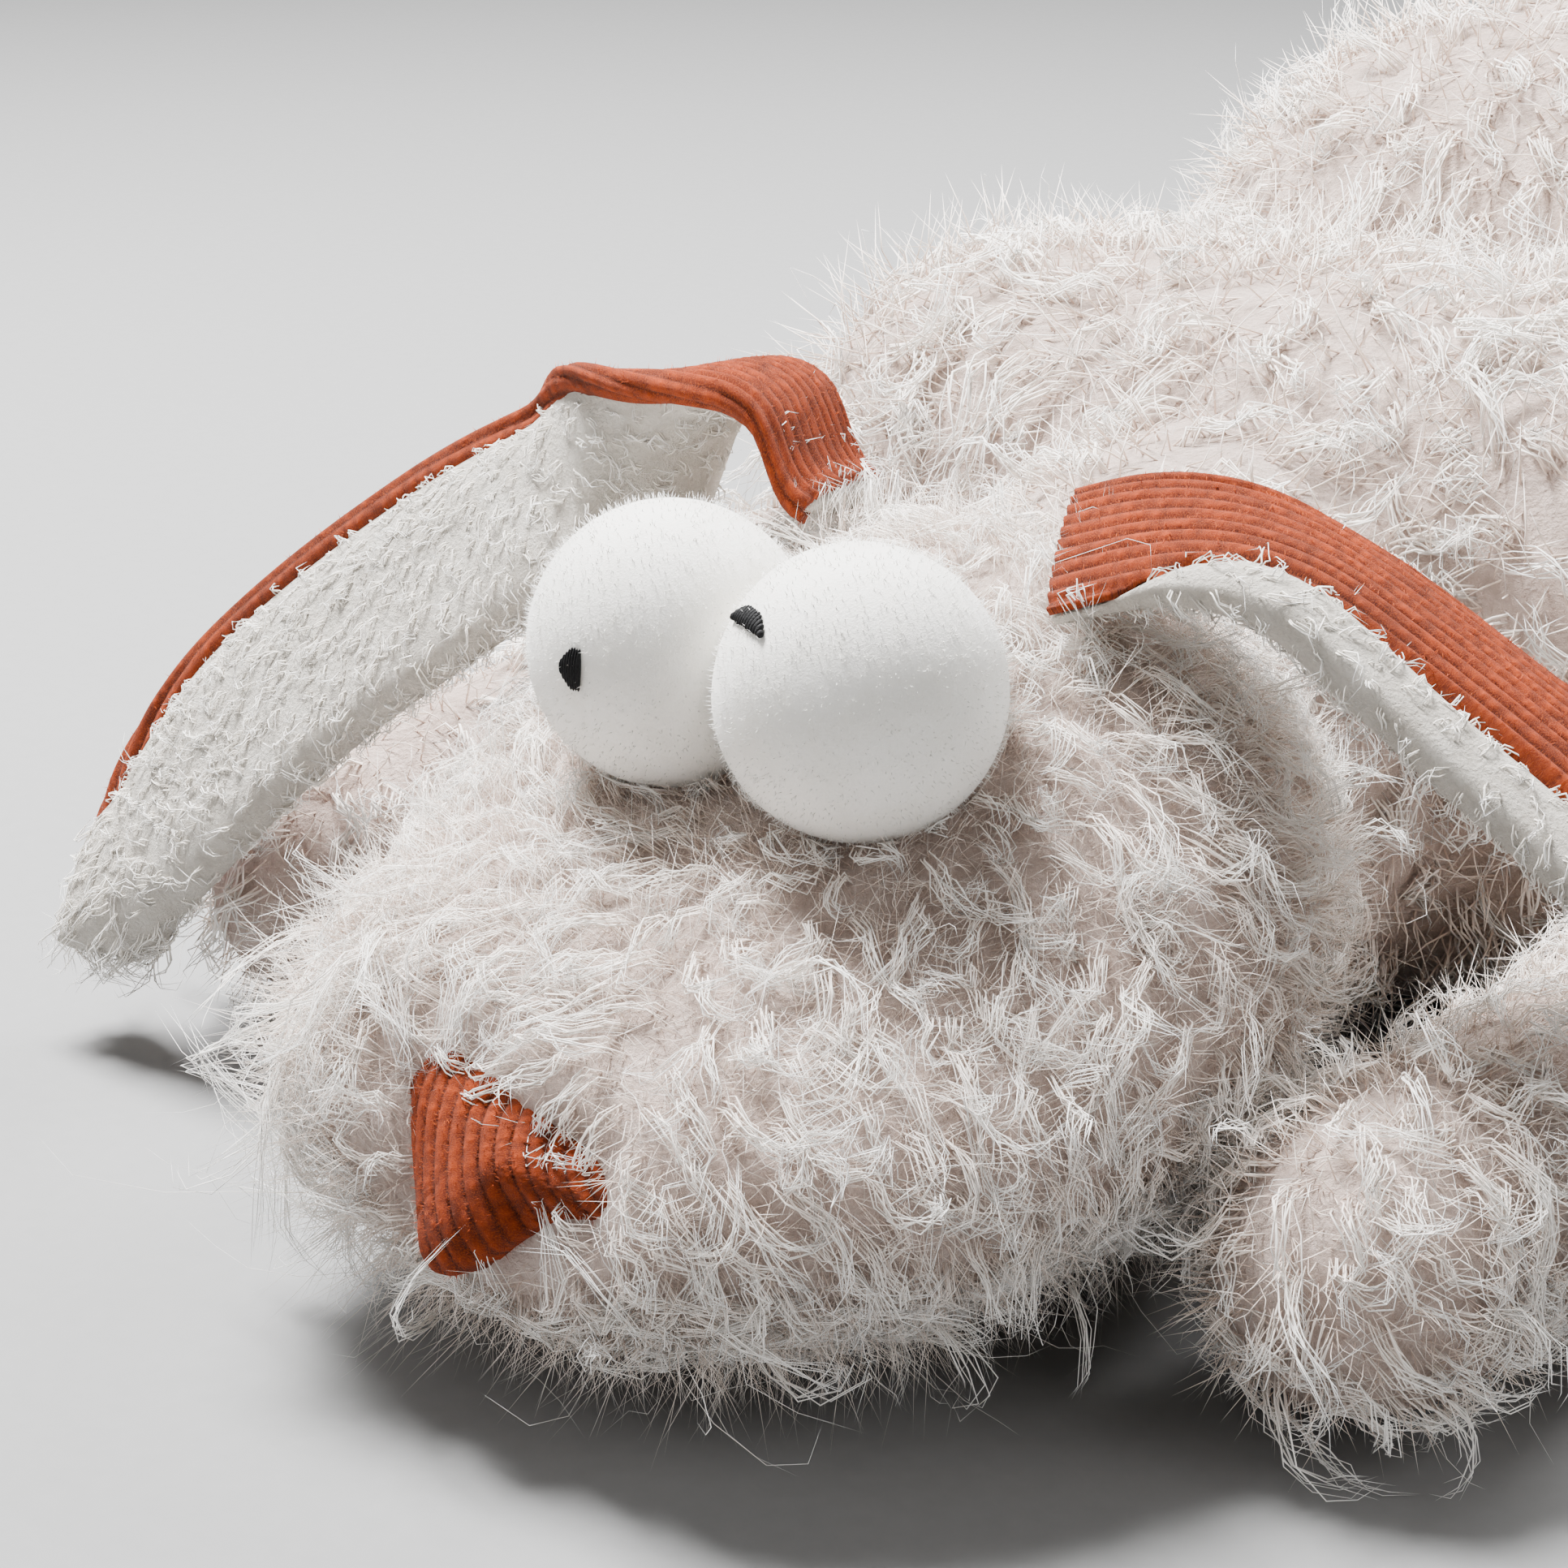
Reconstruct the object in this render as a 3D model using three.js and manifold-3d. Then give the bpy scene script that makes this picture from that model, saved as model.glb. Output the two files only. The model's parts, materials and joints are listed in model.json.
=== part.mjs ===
// A plush bunny lying on its belly: long fur covers sewn over stuffing, two velour ball eyes with
// stitched pupils, and corduroy on the nose and on the backs of the long plush-lined ears.
// Millimetres, +Z up. The nose points to -Y and the bunny's own left is +X.
import * as THREE from 'three';
import Module from 'manifold-3d';

const wasm = await Module();
wasm.setup();

// Fabrics and fits
const FUR_THICKNESS = 7;
const VELOUR_THICKNESS = 2;
const CORDUROY_THICKNESS = 2.2;
const LINING_THICKNESS = 8;
const STITCH_THICKNESS = 0.9;
const SEAM_GAP = 0.35;
const SOCKET_GAP = 1.2;
const PRESSED_FLAT = 0.5;

// Head: the eyes stand over y = 0
const HEAD_FRONT = -58;
const HEAD_LENGTH = 138;
const HEAD_WIDTH = 128;
const MUZZLE_CENTRE_HEIGHT = 33;
const NAPE_CENTRE_HEIGHT = 48;
const MUZZLE_RISE = 26;
const CROWN_RISE = 55;
const HEAD_BLUNTNESS = 0.36;
const HEAD_FULLNESS = 2.3;
const HEAD_UNDER_FULLNESS = 1.6;
const BROW_FOOT = -0.45;
const BROW_TOP = 0.42;

// Neck: a ball on the chest turns in a hollow at the back of the head
const NECK_BALL_RADIUS = 45;
const NECK_GAP = 10;
const NECK_DEPTH = 6;
const NECK_HEIGHT = 50;
const NECK_OPENING_RADIUS = 14;

// Body: a low broad chest and a taller rump, with a waist between them
const BODY_CENTRE_HEIGHT = 55;
const BODY_BLUNTNESS = 0.4;
const BODY_FULLNESS = 2.5;
const CHEST_LENGTH = 118;
const CHEST_WIDTH = 222;
const CHEST_RISE = 54;
const WAIST_OVERLAP = 36;
const RUMP_LENGTH = 128;
const RUMP_WIDTH = 188;
const RUMP_RISE = 86;

// Limbs: a root ball, a slimmer shaft and a swollen end, sizes across
const ARM = { rootRadius: 23, shaftRadius: 20, endRadius: 22, reach: 90, capLength: 23 };
const LEG = { rootRadius: 30, shaftRadius: 24, endRadius: 30, reach: 78, capLength: 26 };
const LIMB_ROOT_SWEEP = 120;
const LIMB_WAIST_AT = 0.45;
const LIMB_WRIST_AT = 0.78;
const LIMB_WRIST_SWELL = 0.7;
const LIMB_OPENING_RADIUS = 8;
const LEFT_SHOULDER = { inset: 26, setback: 18, height: 29, pawGap: -7 };
const RIGHT_SHOULDER = { inset: 25, setback: 20, height: 46, pawGap: 22 };
const HIP_INSET = 18;
const HIP_SETBACK = 38;
const HIP_HEIGHT = 36;
const LEG_SPLAY = 45;

// Tail: a stuffed ball sewn to the rump
const TAIL_RADIUS = 24;
const TAIL_HEIGHT = 92;

// Eyes: two balls pressed against each other, with small stitched pupils
const EYE_RADIUS = 18.3;
const EYE_PRESS = 3.1;
const EYE_STAND = 12.2;
const LEFT_PUPIL = { halfWidth: 2.6, halfHeight: 2, turn: -26, lift: 39 };
const RIGHT_PUPIL = { halfWidth: 1.9, halfHeight: 2.9, turn: -5, lift: 4 };

// Nose: a rounded corduroy triangle sunk in the fur of the muzzle
const NOSE_WIDTH = 35;
const NOSE_DROP = 24;
const NOSE_TOP_SHARE = 0.4;
const NOSE_CORNER = 5;
const NOSE_CORNER_SWEEP = 62;
const NOSE_THICKNESS = 4;
const NOSE_EDGE_ROUND = 1.2;
const NOSE_SETBACK = 9;
const NOSE_LIFT = 1.5;
const NOSE_TILT = 35;
const NOSE_ROLL = 10;

// Ears: long strips that start flat on the crown, twist, and droop
const EAR_LENGTH = 152;
const EAR_WIDTH = 37;
const EAR_ROOT_WIDTH = 27;
const EAR_WIDENING_END = 0.45;
const EAR_TIP_SHARE = 1.3;
const EAR_TIP_WIDTH_SHARE = 0.14;
const EAR_ROOT_LINING = 3.2;
const EAR_LINING_FULL_AT = 0.3;
const EAR_ROOT_RADIUS = 4;
const EAR_CUP = 3;
const EAR_BACK_EDGE = 0.75;
const EAR_LINING_EDGE = 0.9;
const EAR_TIP_DROOP_FROM = 0.42;
const EAR_SPREAD = [-1, -0.85, -0.5, 0, 0.5, 0.85, 1];
const LEFT_EAR = {
  rootX: 21,
  rootY: 34,
  rootStand: 1.4,
  heading: [20, -8],
  pitch: [20, -30],
  pitchSpan: [0, 0.3],
  twist: [22, 1],
  twistSpan: [0.03, 0.25],
  tipDroop: 38,
};
const RIGHT_EAR = {
  rootX: -20,
  rootY: 40,
  rootStand: 0.9,
  heading: [194, 211],
  pitch: [19, -36],
  pitchSpan: [0, 0.3],
  twist: [6, 135],
  twistSpan: [0.1, 0.31],
  tipDroop: 21,
};

// Facets
const HEAD_RINGS = 12;
const HEAD_SIDES = 24;
const BODY_RINGS = 10;
const BODY_SIDES = 20;
const LIMB_SIDES = 16;
const LIMB_ROOT_STEPS = 6;
const LIMB_END_STEPS = 5;
const NECK_SIDES = 20;
const BALL_SIDES = 16;
const HOLLOW_SIDES = 10;
const NOSE_CORNER_STEPS = 5;
const NOSE_EDGE_STEPS = 2;
const PUPIL_SIDES = 36;
const EAR_STEPS = 20;
const INNER_SHARE = 0.6;
const POINT_GRID = 1e4;

const rad = THREE.MathUtils.degToRad;
const lerp = THREE.MathUtils.lerp;
const smooth = THREE.MathUtils.smoothstep;
const UP = new THREE.Vector3(0, 0, 1);

// Solid from a list of points and triangles
function solidFrom(points, triangles) {
  const vertProperties = new Float32Array(points.flatMap((p) => [p.x, p.y, p.z]));
  const triVerts = new Uint32Array(triangles.flat());
  return new wasm.Manifold(new wasm.Mesh({ numProp: 3, vertProperties, triVerts }));
}

// Solid from a closed geometry, with its doubled points joined and an optional placing matrix
function solidOf(geometry, matrix = new THREE.Matrix4()) {
  const at = geometry.attributes.position;
  const index = geometry.index ? Array.from(geometry.index.array) : [...Array(at.count).keys()];
  const seen = new Map();
  const points = [];
  const slot = [];
  for (let i = 0; i < at.count; i++) {
    const point = new THREE.Vector3().fromBufferAttribute(at, i);
    const key = [point.x, point.y, point.z].map((v) => Math.round(v * POINT_GRID)).join();
    if (!seen.has(key)) {
      seen.set(key, points.length);
      points.push(point.applyMatrix4(matrix));
    }
    slot.push(seen.get(key));
  }
  const triangles = [];
  for (let i = 0; i < index.length; i += 3) {
    const [a, b, c] = [slot[index[i]], slot[index[i + 1]], slot[index[i + 2]]];
    if (a !== b && b !== c && c !== a) triangles.push([a, b, c]);
  }
  return solidFrom(points, triangles);
}

// Solid through rings of points, closed by a pole at each end. Crossed splits each four-sided
// facet along its other diagonal, so that two skins that face each other can be split alike
function loft(firstPole, rings, lastPole, crossed = false) {
  const sides = rings[0].length;
  const points = [firstPole, ...rings.flat(), lastPole];
  const last = points.length - 1;
  const triangles = [];
  for (let k = 0; k < sides; k++) {
    const next = (k + 1) % sides;
    triangles.push([0, 1 + next, 1 + k]);
    triangles.push([last, last - sides + k, last - sides + next]);
    for (let r = 0; r + 1 < rings.length; r++) {
      const here = 1 + r * sides;
      const there = here + sides;
      const [first, second] = crossed ? [there + k, here + next] : [there + next, here + k];
      triangles.push([here + k, here + next, first]);
      triangles.push([second, there + next, there + k]);
    }
  }
  return solidFrom(points, triangles);
}

// Upright oval section, fuller than an ellipse, with its own rise above and drop below the centre
function ovalRing(centre, halfWidth, rise, drop, shape, sides) {
  const ring = [];
  for (let k = 0; k < sides; k++) {
    const angle = 2 * Math.PI * k / sides;
    const c = Math.cos(angle);
    const s = Math.sin(angle);
    const power = 2 / (s > 0 ? shape.fullness : shape.underFullness);
    const x = Math.sign(c) * Math.abs(c) ** power * halfWidth;
    const z = Math.sign(s) * Math.abs(s) ** power * (s > 0 ? rise : drop);
    ring.push(new THREE.Vector3(centre.x - x, centre.y, centre.z + z));
  }
  return ring;
}

// Sack along Y whose sections swell from pole to pole; inset shrinks it by a wall
function sack(shape, inset, share = 1) {
  const rings = [];
  const count = Math.round(shape.rings * share);
  const sides = Math.round(shape.sides * share / 2) * 2;
  const half = shape.length / 2;
  const pole = (u) => new THREE.Vector3(0, shape.front + half + u * (half - inset), shape.middle(u));
  for (let i = 1; i < count; i++) {
    const u = -Math.cos(Math.PI * i / count);
    const swell = (1 - u * u) ** shape.bluntness;
    const centre = pole(u);
    const drop = centre.z + PRESSED_FLAT - inset;
    const halfWidth = (shape.width / 2 - inset) * swell;
    const rise = (shape.rise(u) - inset) * swell;
    rings.push(ovalRing(centre, halfWidth, rise, drop * swell, shape, sides));
  }
  return loft(pole(-1), rings, pole(1));
}

const headShape = {
  front: HEAD_FRONT,
  length: HEAD_LENGTH,
  width: HEAD_WIDTH,
  bluntness: HEAD_BLUNTNESS,
  fullness: HEAD_FULLNESS,
  underFullness: HEAD_UNDER_FULLNESS,
  rings: HEAD_RINGS,
  sides: HEAD_SIDES,
  middle: (u) => lerp(MUZZLE_CENTRE_HEIGHT, NAPE_CENTRE_HEIGHT, (u + 1) / 2),
  rise: (u) => lerp(MUZZLE_RISE, CROWN_RISE, smooth(u, BROW_FOOT, BROW_TOP)),
};

// Where the body follows the head, and the rump the chest
const chestFront = HEAD_FRONT + HEAD_LENGTH + NECK_GAP;
const rumpFront = chestFront + CHEST_LENGTH - WAIST_OVERLAP;
const rumpEnd = rumpFront + RUMP_LENGTH;
const neckCentre = new THREE.Vector3(0, chestFront + NECK_DEPTH, NECK_HEIGHT);

// Height of the top of a sack over a point
function topHeight(shape, x, y) {
  const half = shape.length / 2;
  const u = (y - shape.front - half) / half;
  const swell = (1 - u * u) ** shape.bluntness;
  const aside = Math.abs(x) / (shape.width / 2 * swell);
  return shape.middle(u) + shape.rise(u) * swell * (1 - aside ** shape.fullness) ** (1 / shape.fullness);
}

// Chest or rump: a plain swelling sack
function bodySack(front, length, width, rise) {
  return {
    front,
    length,
    width,
    bluntness: BODY_BLUNTNESS,
    fullness: BODY_FULLNESS,
    underFullness: BODY_FULLNESS,
    rings: BODY_RINGS,
    sides: BODY_SIDES,
    middle: () => BODY_CENTRE_HEIGHT,
    rise: () => rise,
  };
}

const chestShape = bodySack(chestFront, CHEST_LENGTH, CHEST_WIDTH, CHEST_RISE);
const rumpShape = bodySack(rumpFront, RUMP_LENGTH, RUMP_WIDTH, RUMP_RISE);

function ball(radius, centre, sides = BALL_SIDES) {
  const place = new THREE.Matrix4().makeTranslation(centre.x, centre.y, centre.z);
  const level = new THREE.Matrix4().makeRotationX(Math.PI / 2);
  return solidOf(new THREE.SphereGeometry(radius, sides, sides / 2), place.multiply(level));
}

// Block that takes away everything below the resting plane, or on one side of the eyes' middle
function block(width, length, height, centre) {
  const place = new THREE.Matrix4().makeTranslation(centre.x, centre.y, centre.z);
  return solidOf(new THREE.BoxGeometry(width, length, height), place);
}

const reachOut = HEAD_LENGTH + CHEST_LENGTH + RUMP_LENGTH + LEG.reach + EAR_LENGTH;
const ground = block(2 * reachOut, 2 * reachOut, reachOut, new THREE.Vector3(0, 0, -reachOut / 2));

function standing(solid) {
  return solid.subtract(ground);
}

// Limb revolved about its own line: root ball, shaft, swollen end
function limbSolid(limb, inset, share = 1) {
  const rootRadius = limb.rootRadius - inset;
  const endRadius = limb.endRadius - inset;
  const profile = [];
  const rootSteps = Math.round(LIMB_ROOT_STEPS * share);
  for (let i = 0; i < rootSteps; i++) {
    const angle = rad(LIMB_ROOT_SWEEP) * i / rootSteps;
    profile.push(new THREE.Vector2(rootRadius * Math.sin(angle), -rootRadius * Math.cos(angle)));
  }
  profile.push(new THREE.Vector2(limb.shaftRadius - inset, limb.reach * LIMB_WAIST_AT));
  const wristRadius = lerp(limb.shaftRadius, limb.endRadius, LIMB_WRIST_SWELL);
  profile.push(new THREE.Vector2(wristRadius - inset, limb.reach * LIMB_WRIST_AT));
  const capSteps = Math.round(LIMB_END_STEPS * share);
  for (let i = 0; i <= capSteps; i++) {
    const angle = rad(90) * i / capSteps;
    const along = limb.reach + (limb.capLength - inset) * Math.sin(angle);
    profile.push(new THREE.Vector2(i === capSteps ? 0 : endRadius * Math.cos(angle), along));
  }
  const sides = Math.round(LIMB_SIDES * share / 2) * 2;
  return solidOf(new THREE.LatheGeometry(profile, sides), limb.place);
}

// Limb with its root at a point, lying along a compass heading with its end on the ground
function laidLimb(size, root, heading) {
  const dip = size.endRadius - PRESSED_FLAT - root.z;
  const direction = new THREE.Vector3(Math.cos(rad(heading)), Math.sin(rad(heading)), 0);
  direction.multiplyScalar(Math.sqrt(size.reach ** 2 - dip ** 2)).setZ(dip).normalize();
  const across = new THREE.Vector3().crossVectors(direction, UP).normalize();
  const over = new THREE.Vector3().crossVectors(across, direction);
  const place = new THREE.Matrix4().makeBasis(across, direction, over).setPosition(root);
  return { ...size, root, place };
}

// Arm beside the head: its end clears the cheek by the paw gap
function laidArm(side, shoulder) {
  const rootX = CHEST_WIDTH / 2 - shoulder.inset;
  const endX = HEAD_WIDTH / 2 + ARM.endRadius + shoulder.pawGap;
  const splay = THREE.MathUtils.radToDeg(Math.asin((endX - rootX) / ARM.reach));
  const root = new THREE.Vector3(side * rootX, chestFront + shoulder.setback, shoulder.height);
  return laidLimb(ARM, root, -90 + side * splay);
}

function laidLeg(side) {
  const root = new THREE.Vector3(side * (RUMP_WIDTH / 2 - HIP_INSET), rumpEnd - HIP_SETBACK, HIP_HEIGHT);
  return laidLimb(LEG, root, 90 - side * LEG_SPLAY);
}

const limbs = {
  left_arm: laidArm(1, LEFT_SHOULDER),
  right_arm: laidArm(-1, RIGHT_SHOULDER),
  left_leg: laidLeg(1),
  right_leg: laidLeg(-1),
};

// Path of an ear: heading and pitch change steadily along its length
function earFrames(ear) {
  const frames = [];
  const rootHeight = topHeight(headShape, ear.rootX, ear.rootY) + ear.rootStand;
  const point = new THREE.Vector3(ear.rootX, ear.rootY, rootHeight);
  for (let i = 0; i <= EAR_STEPS; i++) {
    const t = i / EAR_STEPS;
    const heading = rad(lerp(...ear.heading, t));
    const droop = ear.tipDroop * smooth(t, EAR_TIP_DROOP_FROM, 1);
    const pitch = rad(lerp(...ear.pitch, smooth(t, ...ear.pitchSpan)) - droop);
    const twist = rad(lerp(...ear.twist, smooth(t, ...ear.twistSpan)));
    const along = new THREE.Vector3(Math.cos(heading), Math.sin(heading), 0);
    along.multiplyScalar(Math.cos(pitch)).setZ(Math.sin(pitch));
    const across = new THREE.Vector3().crossVectors(UP, along).normalize().applyAxisAngle(along, twist);
    const out = new THREE.Vector3().crossVectors(along, across);
    frames.push({ t, point: point.clone(), along, across, out });
    point.addScaledVector(along, EAR_LENGTH / EAR_STEPS);
  }
  return frames;
}

// Half width of an ear: widens from the root and rounds off at the tip
function earHalfWidth(t) {
  const body = lerp(EAR_ROOT_WIDTH, EAR_WIDTH, smooth(t, 0, EAR_WIDENING_END)) / 2;
  const tipStart = 1 - EAR_TIP_SHARE * EAR_WIDTH / EAR_LENGTH;
  const over = Math.max(0, (t - tipStart) / (1 - tipStart));
  return body * Math.max(EAR_TIP_WIDTH_SHARE, Math.sqrt(1 - over * over));
}

// One layer of an ear, between two heights above its seam surface
function earLayer(ear, lowAt, highAt, crossed) {
  const frames = earFrames(ear);
  const rings = frames.map(({ t, point, across, out }) => {
    const half = earHalfWidth(t);
    const cup = EAR_CUP * smooth(t, 0, EAR_WIDENING_END);
    const place = (v, height) => point.clone()
      .addScaledVector(across, v * half)
      .addScaledVector(out, height - cup * (2 * v * half / EAR_WIDTH) ** 2);
    const high = EAR_SPREAD.map((v) => place(v, highAt(t, v))).reverse();
    const low = EAR_SPREAD.map((v) => place(v, lowAt(t, v)));
    return [...low, ...high];
  });
  const centre = (EAR_SPREAD.length - 1) / 2;
  const middle = (ring) => ring[centre].clone().lerp(ring[EAR_SPREAD.length + centre], 0.5);
  return loft(middle(rings[0]), rings, middle(rings.at(-1)), crossed);
}

function earBack(ear) {
  const edge = (v) => Math.sqrt(1 - EAR_BACK_EDGE * v * v);
  return earLayer(ear, () => SEAM_GAP / 2, (t, v) => SEAM_GAP / 2 + CORDUROY_THICKNESS * edge(v));
}

function earLining(ear) {
  const thick = (t) => lerp(EAR_ROOT_LINING, LINING_THICKNESS, smooth(t, 0, EAR_LINING_FULL_AT));
  const edge = (v) => Math.sqrt(1 - EAR_LINING_EDGE * v * v);
  return earLayer(ear, (t, v) => -SEAM_GAP / 2 - thick(t) * edge(v), () => -SEAM_GAP / 2, true);
}

// Trough across the crown that the root of an ear turns in
function earTrough(ear) {
  const { point, along, across, out } = earFrames(ear)[0];
  const place = new THREE.Matrix4().makeBasis(along, across, out).setPosition(point);
  const length = EAR_ROOT_WIDTH + 2 * SOCKET_GAP;
  const radius = EAR_ROOT_RADIUS + SOCKET_GAP;
  return solidOf(new THREE.CylinderGeometry(radius, radius, length, BALL_SIDES), place);
}

// Nose: rounded triangle, point down, extruded along its outward normal
const noseTurn = new THREE.Matrix4()
  .makeRotationX(Math.PI / 2 - rad(NOSE_TILT))
  .multiply(new THREE.Matrix4().makeRotationZ(-rad(NOSE_ROLL)));
const nosePlace = new THREE.Matrix4()
  .makeTranslation(0, HEAD_FRONT + NOSE_SETBACK, MUZZLE_CENTRE_HEIGHT + NOSE_LIFT)
  .multiply(noseTurn);

function noseOutline(margin) {
  const top = NOSE_DROP * NOSE_TOP_SHARE;
  const radius = NOSE_CORNER + margin;
  const corners = [
    [NOSE_WIDTH / 2 - NOSE_CORNER, top - NOSE_CORNER, -60],
    [-(NOSE_WIDTH / 2 - NOSE_CORNER), top - NOSE_CORNER, 60],
    [0, top - NOSE_DROP + NOSE_CORNER, 180],
  ];
  const outline = new THREE.Shape();
  corners.forEach(([x, y, facing]) => {
    const middle = facing + 90;
    outline.absarc(x, y, radius, rad(middle - NOSE_CORNER_SWEEP), rad(middle + NOSE_CORNER_SWEEP), false);
  });
  return outline;
}

function nosePad(margin, depth, round) {
  const geometry = new THREE.ExtrudeGeometry(noseOutline(margin - round), {
    depth: depth - 2 * round, curveSegments: NOSE_CORNER_STEPS, bevelEnabled: round > 0,
    bevelThickness: round, bevelSize: round, bevelSegments: NOSE_EDGE_STEPS,
  });
  geometry.translate(0, 0, round);
  return solidOf(geometry, nosePlace);
}

// Eyes
const eyeX = EYE_RADIUS - EYE_PRESS;
const eyeHeight = topHeight(headShape, eyeX, 0) + EYE_STAND;

function eyeCentre(side) {
  return new THREE.Vector3(side * eyeX, 0, eyeHeight);
}

// Everything across the plane where the two eyes press together
function otherEyeSide(side) {
  const wide = 4 * EYE_RADIUS;
  return block(wide, wide, wide, new THREE.Vector3(side * (SEAM_GAP / 2 - wide / 2), 0, eyeHeight));
}

function eyeBall(side, inset) {
  const sides = inset > 0 ? HOLLOW_SIDES : BALL_SIDES;
  return ball(EYE_RADIUS - inset, eyeCentre(side), sides).subtract(otherEyeSide(side));
}

// Stitched pupil: a slice of the shell just outside the eye, cut by an oval post
function pupilPatch(side, pupil) {
  const outer = ball(EYE_RADIUS + SEAM_GAP + STITCH_THICKNESS, eyeCentre(side), PUPIL_SIDES);
  const inner = ball(EYE_RADIUS + SEAM_GAP, eyeCentre(side), PUPIL_SIDES);
  const post = new THREE.CylinderGeometry(1, 1, 2 * EYE_RADIUS, BALL_SIDES);
  post.scale(pupil.halfWidth, 1, pupil.halfHeight);
  const turn = new THREE.Matrix4().makeRotationZ(rad(pupil.turn));
  const lift = new THREE.Matrix4().makeRotationX(-rad(pupil.lift));
  const forward = new THREE.Matrix4().makeTranslation(0, -EYE_RADIUS, 0);
  const c = eyeCentre(side);
  const place = new THREE.Matrix4().makeTranslation(c.x, c.y, c.z);
  place.multiply(turn).multiply(lift).multiply(forward);
  return outer.subtract(inner).intersect(solidOf(post, place));
}

// Finishes
const finish = (color, roughness) => () => new THREE.MeshStandardMaterial({
  color, roughness, metalness: 0,
});
const longFur = finish(0xe8e0d8, 0.95);
const wadding = finish(0xf4f2ee, 1);
const velour = finish(0xe6e2d8, 0.85);
const corduroy = finish(0xcb6a34, 0.85);
const liningPlush = finish(0xdcd4c8, 0.95);
const blackThread = finish(0x1b1b1c, 0.6);

const bunny = new THREE.Group();

function addPiece(name, solid, material) {
  const mesh = solid.getMesh();
  const geometry = new THREE.BufferGeometry();
  geometry.setAttribute('position', new THREE.Float32BufferAttribute(mesh.vertProperties, 3));
  geometry.setIndex(Array.from(mesh.triVerts));
  geometry.computeVertexNormals();
  const piece = new THREE.Mesh(geometry, material());
  piece.name = name;
  bunny.add(piece);
}

// Body: cover and stuffing, dented by the limb roots
const neckOpening = solidOf(
  new THREE.CylinderGeometry(NECK_OPENING_RADIUS, NECK_OPENING_RADIUS, NECK_BALL_RADIUS, HOLLOW_SIDES),
  new THREE.Matrix4().makeTranslation(0, neckCentre.y - NECK_BALL_RADIUS, NECK_HEIGHT));
const limbSockets = Object.values(limbs)
  .map((limb) => ball(limb.rootRadius + SOCKET_GAP, limb.root))
  .reduce((all, socket) => all.add(socket));

function bodyForm(inset, share) {
  return sack(chestShape, inset, share)
    .add(sack(rumpShape, inset, share))
    .add(ball(NECK_BALL_RADIUS - inset, neckCentre, NECK_SIDES));
}

const bodyHollow = bodyForm(FUR_THICKNESS, INNER_SHARE);
const bodyCover = standing(bodyForm(0)).subtract(bodyHollow).subtract(limbSockets).subtract(neckOpening);
addPiece('body_cover', bodyCover, longFur);
const bodyStuffing = bodyForm(FUR_THICKNESS + SEAM_GAP, INNER_SHARE).subtract(limbSockets);
addPiece('body_stuffing', bodyStuffing, wadding);

// Arms and legs: each a sewn sleeve, open at its root for the stuffing
for (const [name, limb] of Object.entries(limbs)) {
  const openingPlace = limb.place.clone().multiply(
    new THREE.Matrix4().makeTranslation(0, -limb.rootRadius, 0));
  const opening = solidOf(
    new THREE.CylinderGeometry(LIMB_OPENING_RADIUS, LIMB_OPENING_RADIUS, limb.rootRadius, HOLLOW_SIDES),
    openingPlace);
  const sleeve = standing(limbSolid(limb, 0)).subtract(limbSolid(limb, FUR_THICKNESS, INNER_SHARE));
  addPiece(`${name}_cover`, sleeve.subtract(opening), longFur);
  addPiece(`${name}_stuffing`, limbSolid(limb, FUR_THICKNESS + SEAM_GAP, INNER_SHARE), wadding);
}

// Tail: cut to the rump that carries it
const tailCentre = new THREE.Vector3(0, rumpEnd, TAIL_HEIGHT);
const rump = sack(rumpShape, -SEAM_GAP);
const tailHollow = ball(TAIL_RADIUS - FUR_THICKNESS, tailCentre, HOLLOW_SIDES);
const tailCover = ball(TAIL_RADIUS, tailCentre).subtract(tailHollow);
addPiece('tail_cover', tailCover.subtract(rump), longFur);
const tailStuffing = ball(TAIL_RADIUS - FUR_THICKNESS - SEAM_GAP, tailCentre, HOLLOW_SIDES);
addPiece('tail_stuffing', tailStuffing.subtract(rump), wadding);

// Head: cover and stuffing, hollowed for the neck, with troughs for the ears and a bed for the nose
const neckHollow = ball(NECK_BALL_RADIUS + SOCKET_GAP, neckCentre, NECK_SIDES);
const noseBed = nosePad(SEAM_GAP, 4 * NOSE_THICKNESS, 0);
const headCover = standing(sack(headShape, 0))
  .subtract(sack(headShape, FUR_THICKNESS, INNER_SHARE))
  .subtract(neckHollow)
  .subtract(earTrough(LEFT_EAR))
  .subtract(earTrough(RIGHT_EAR))
  .subtract(noseBed);
addPiece('head_cover', headCover, longFur);
const headStuffing = sack(headShape, FUR_THICKNESS + SEAM_GAP, INNER_SHARE)
  .subtract(neckHollow)
  .subtract(noseBed);
addPiece('head_stuffing', headStuffing, wadding);

// Eyes: cut to the brow that carries them
const brow = sack(headShape, -SEAM_GAP);
for (const [name, side, pupil] of [['left', 1, LEFT_PUPIL], ['right', -1, RIGHT_PUPIL]]) {
  const cover = eyeBall(side, 0).subtract(eyeBall(side, VELOUR_THICKNESS));
  addPiece(`${name}_eye_cover`, cover.subtract(brow), velour);
  addPiece(`${name}_eye_stuffing`, eyeBall(side, VELOUR_THICKNESS + SEAM_GAP).subtract(brow), wadding);
  addPiece(`${name}_pupil`, pupilPatch(side, pupil), blackThread);
}

// Nose
addPiece('nose_patch', nosePad(0, NOSE_THICKNESS, NOSE_EDGE_ROUND), corduroy);

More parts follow.
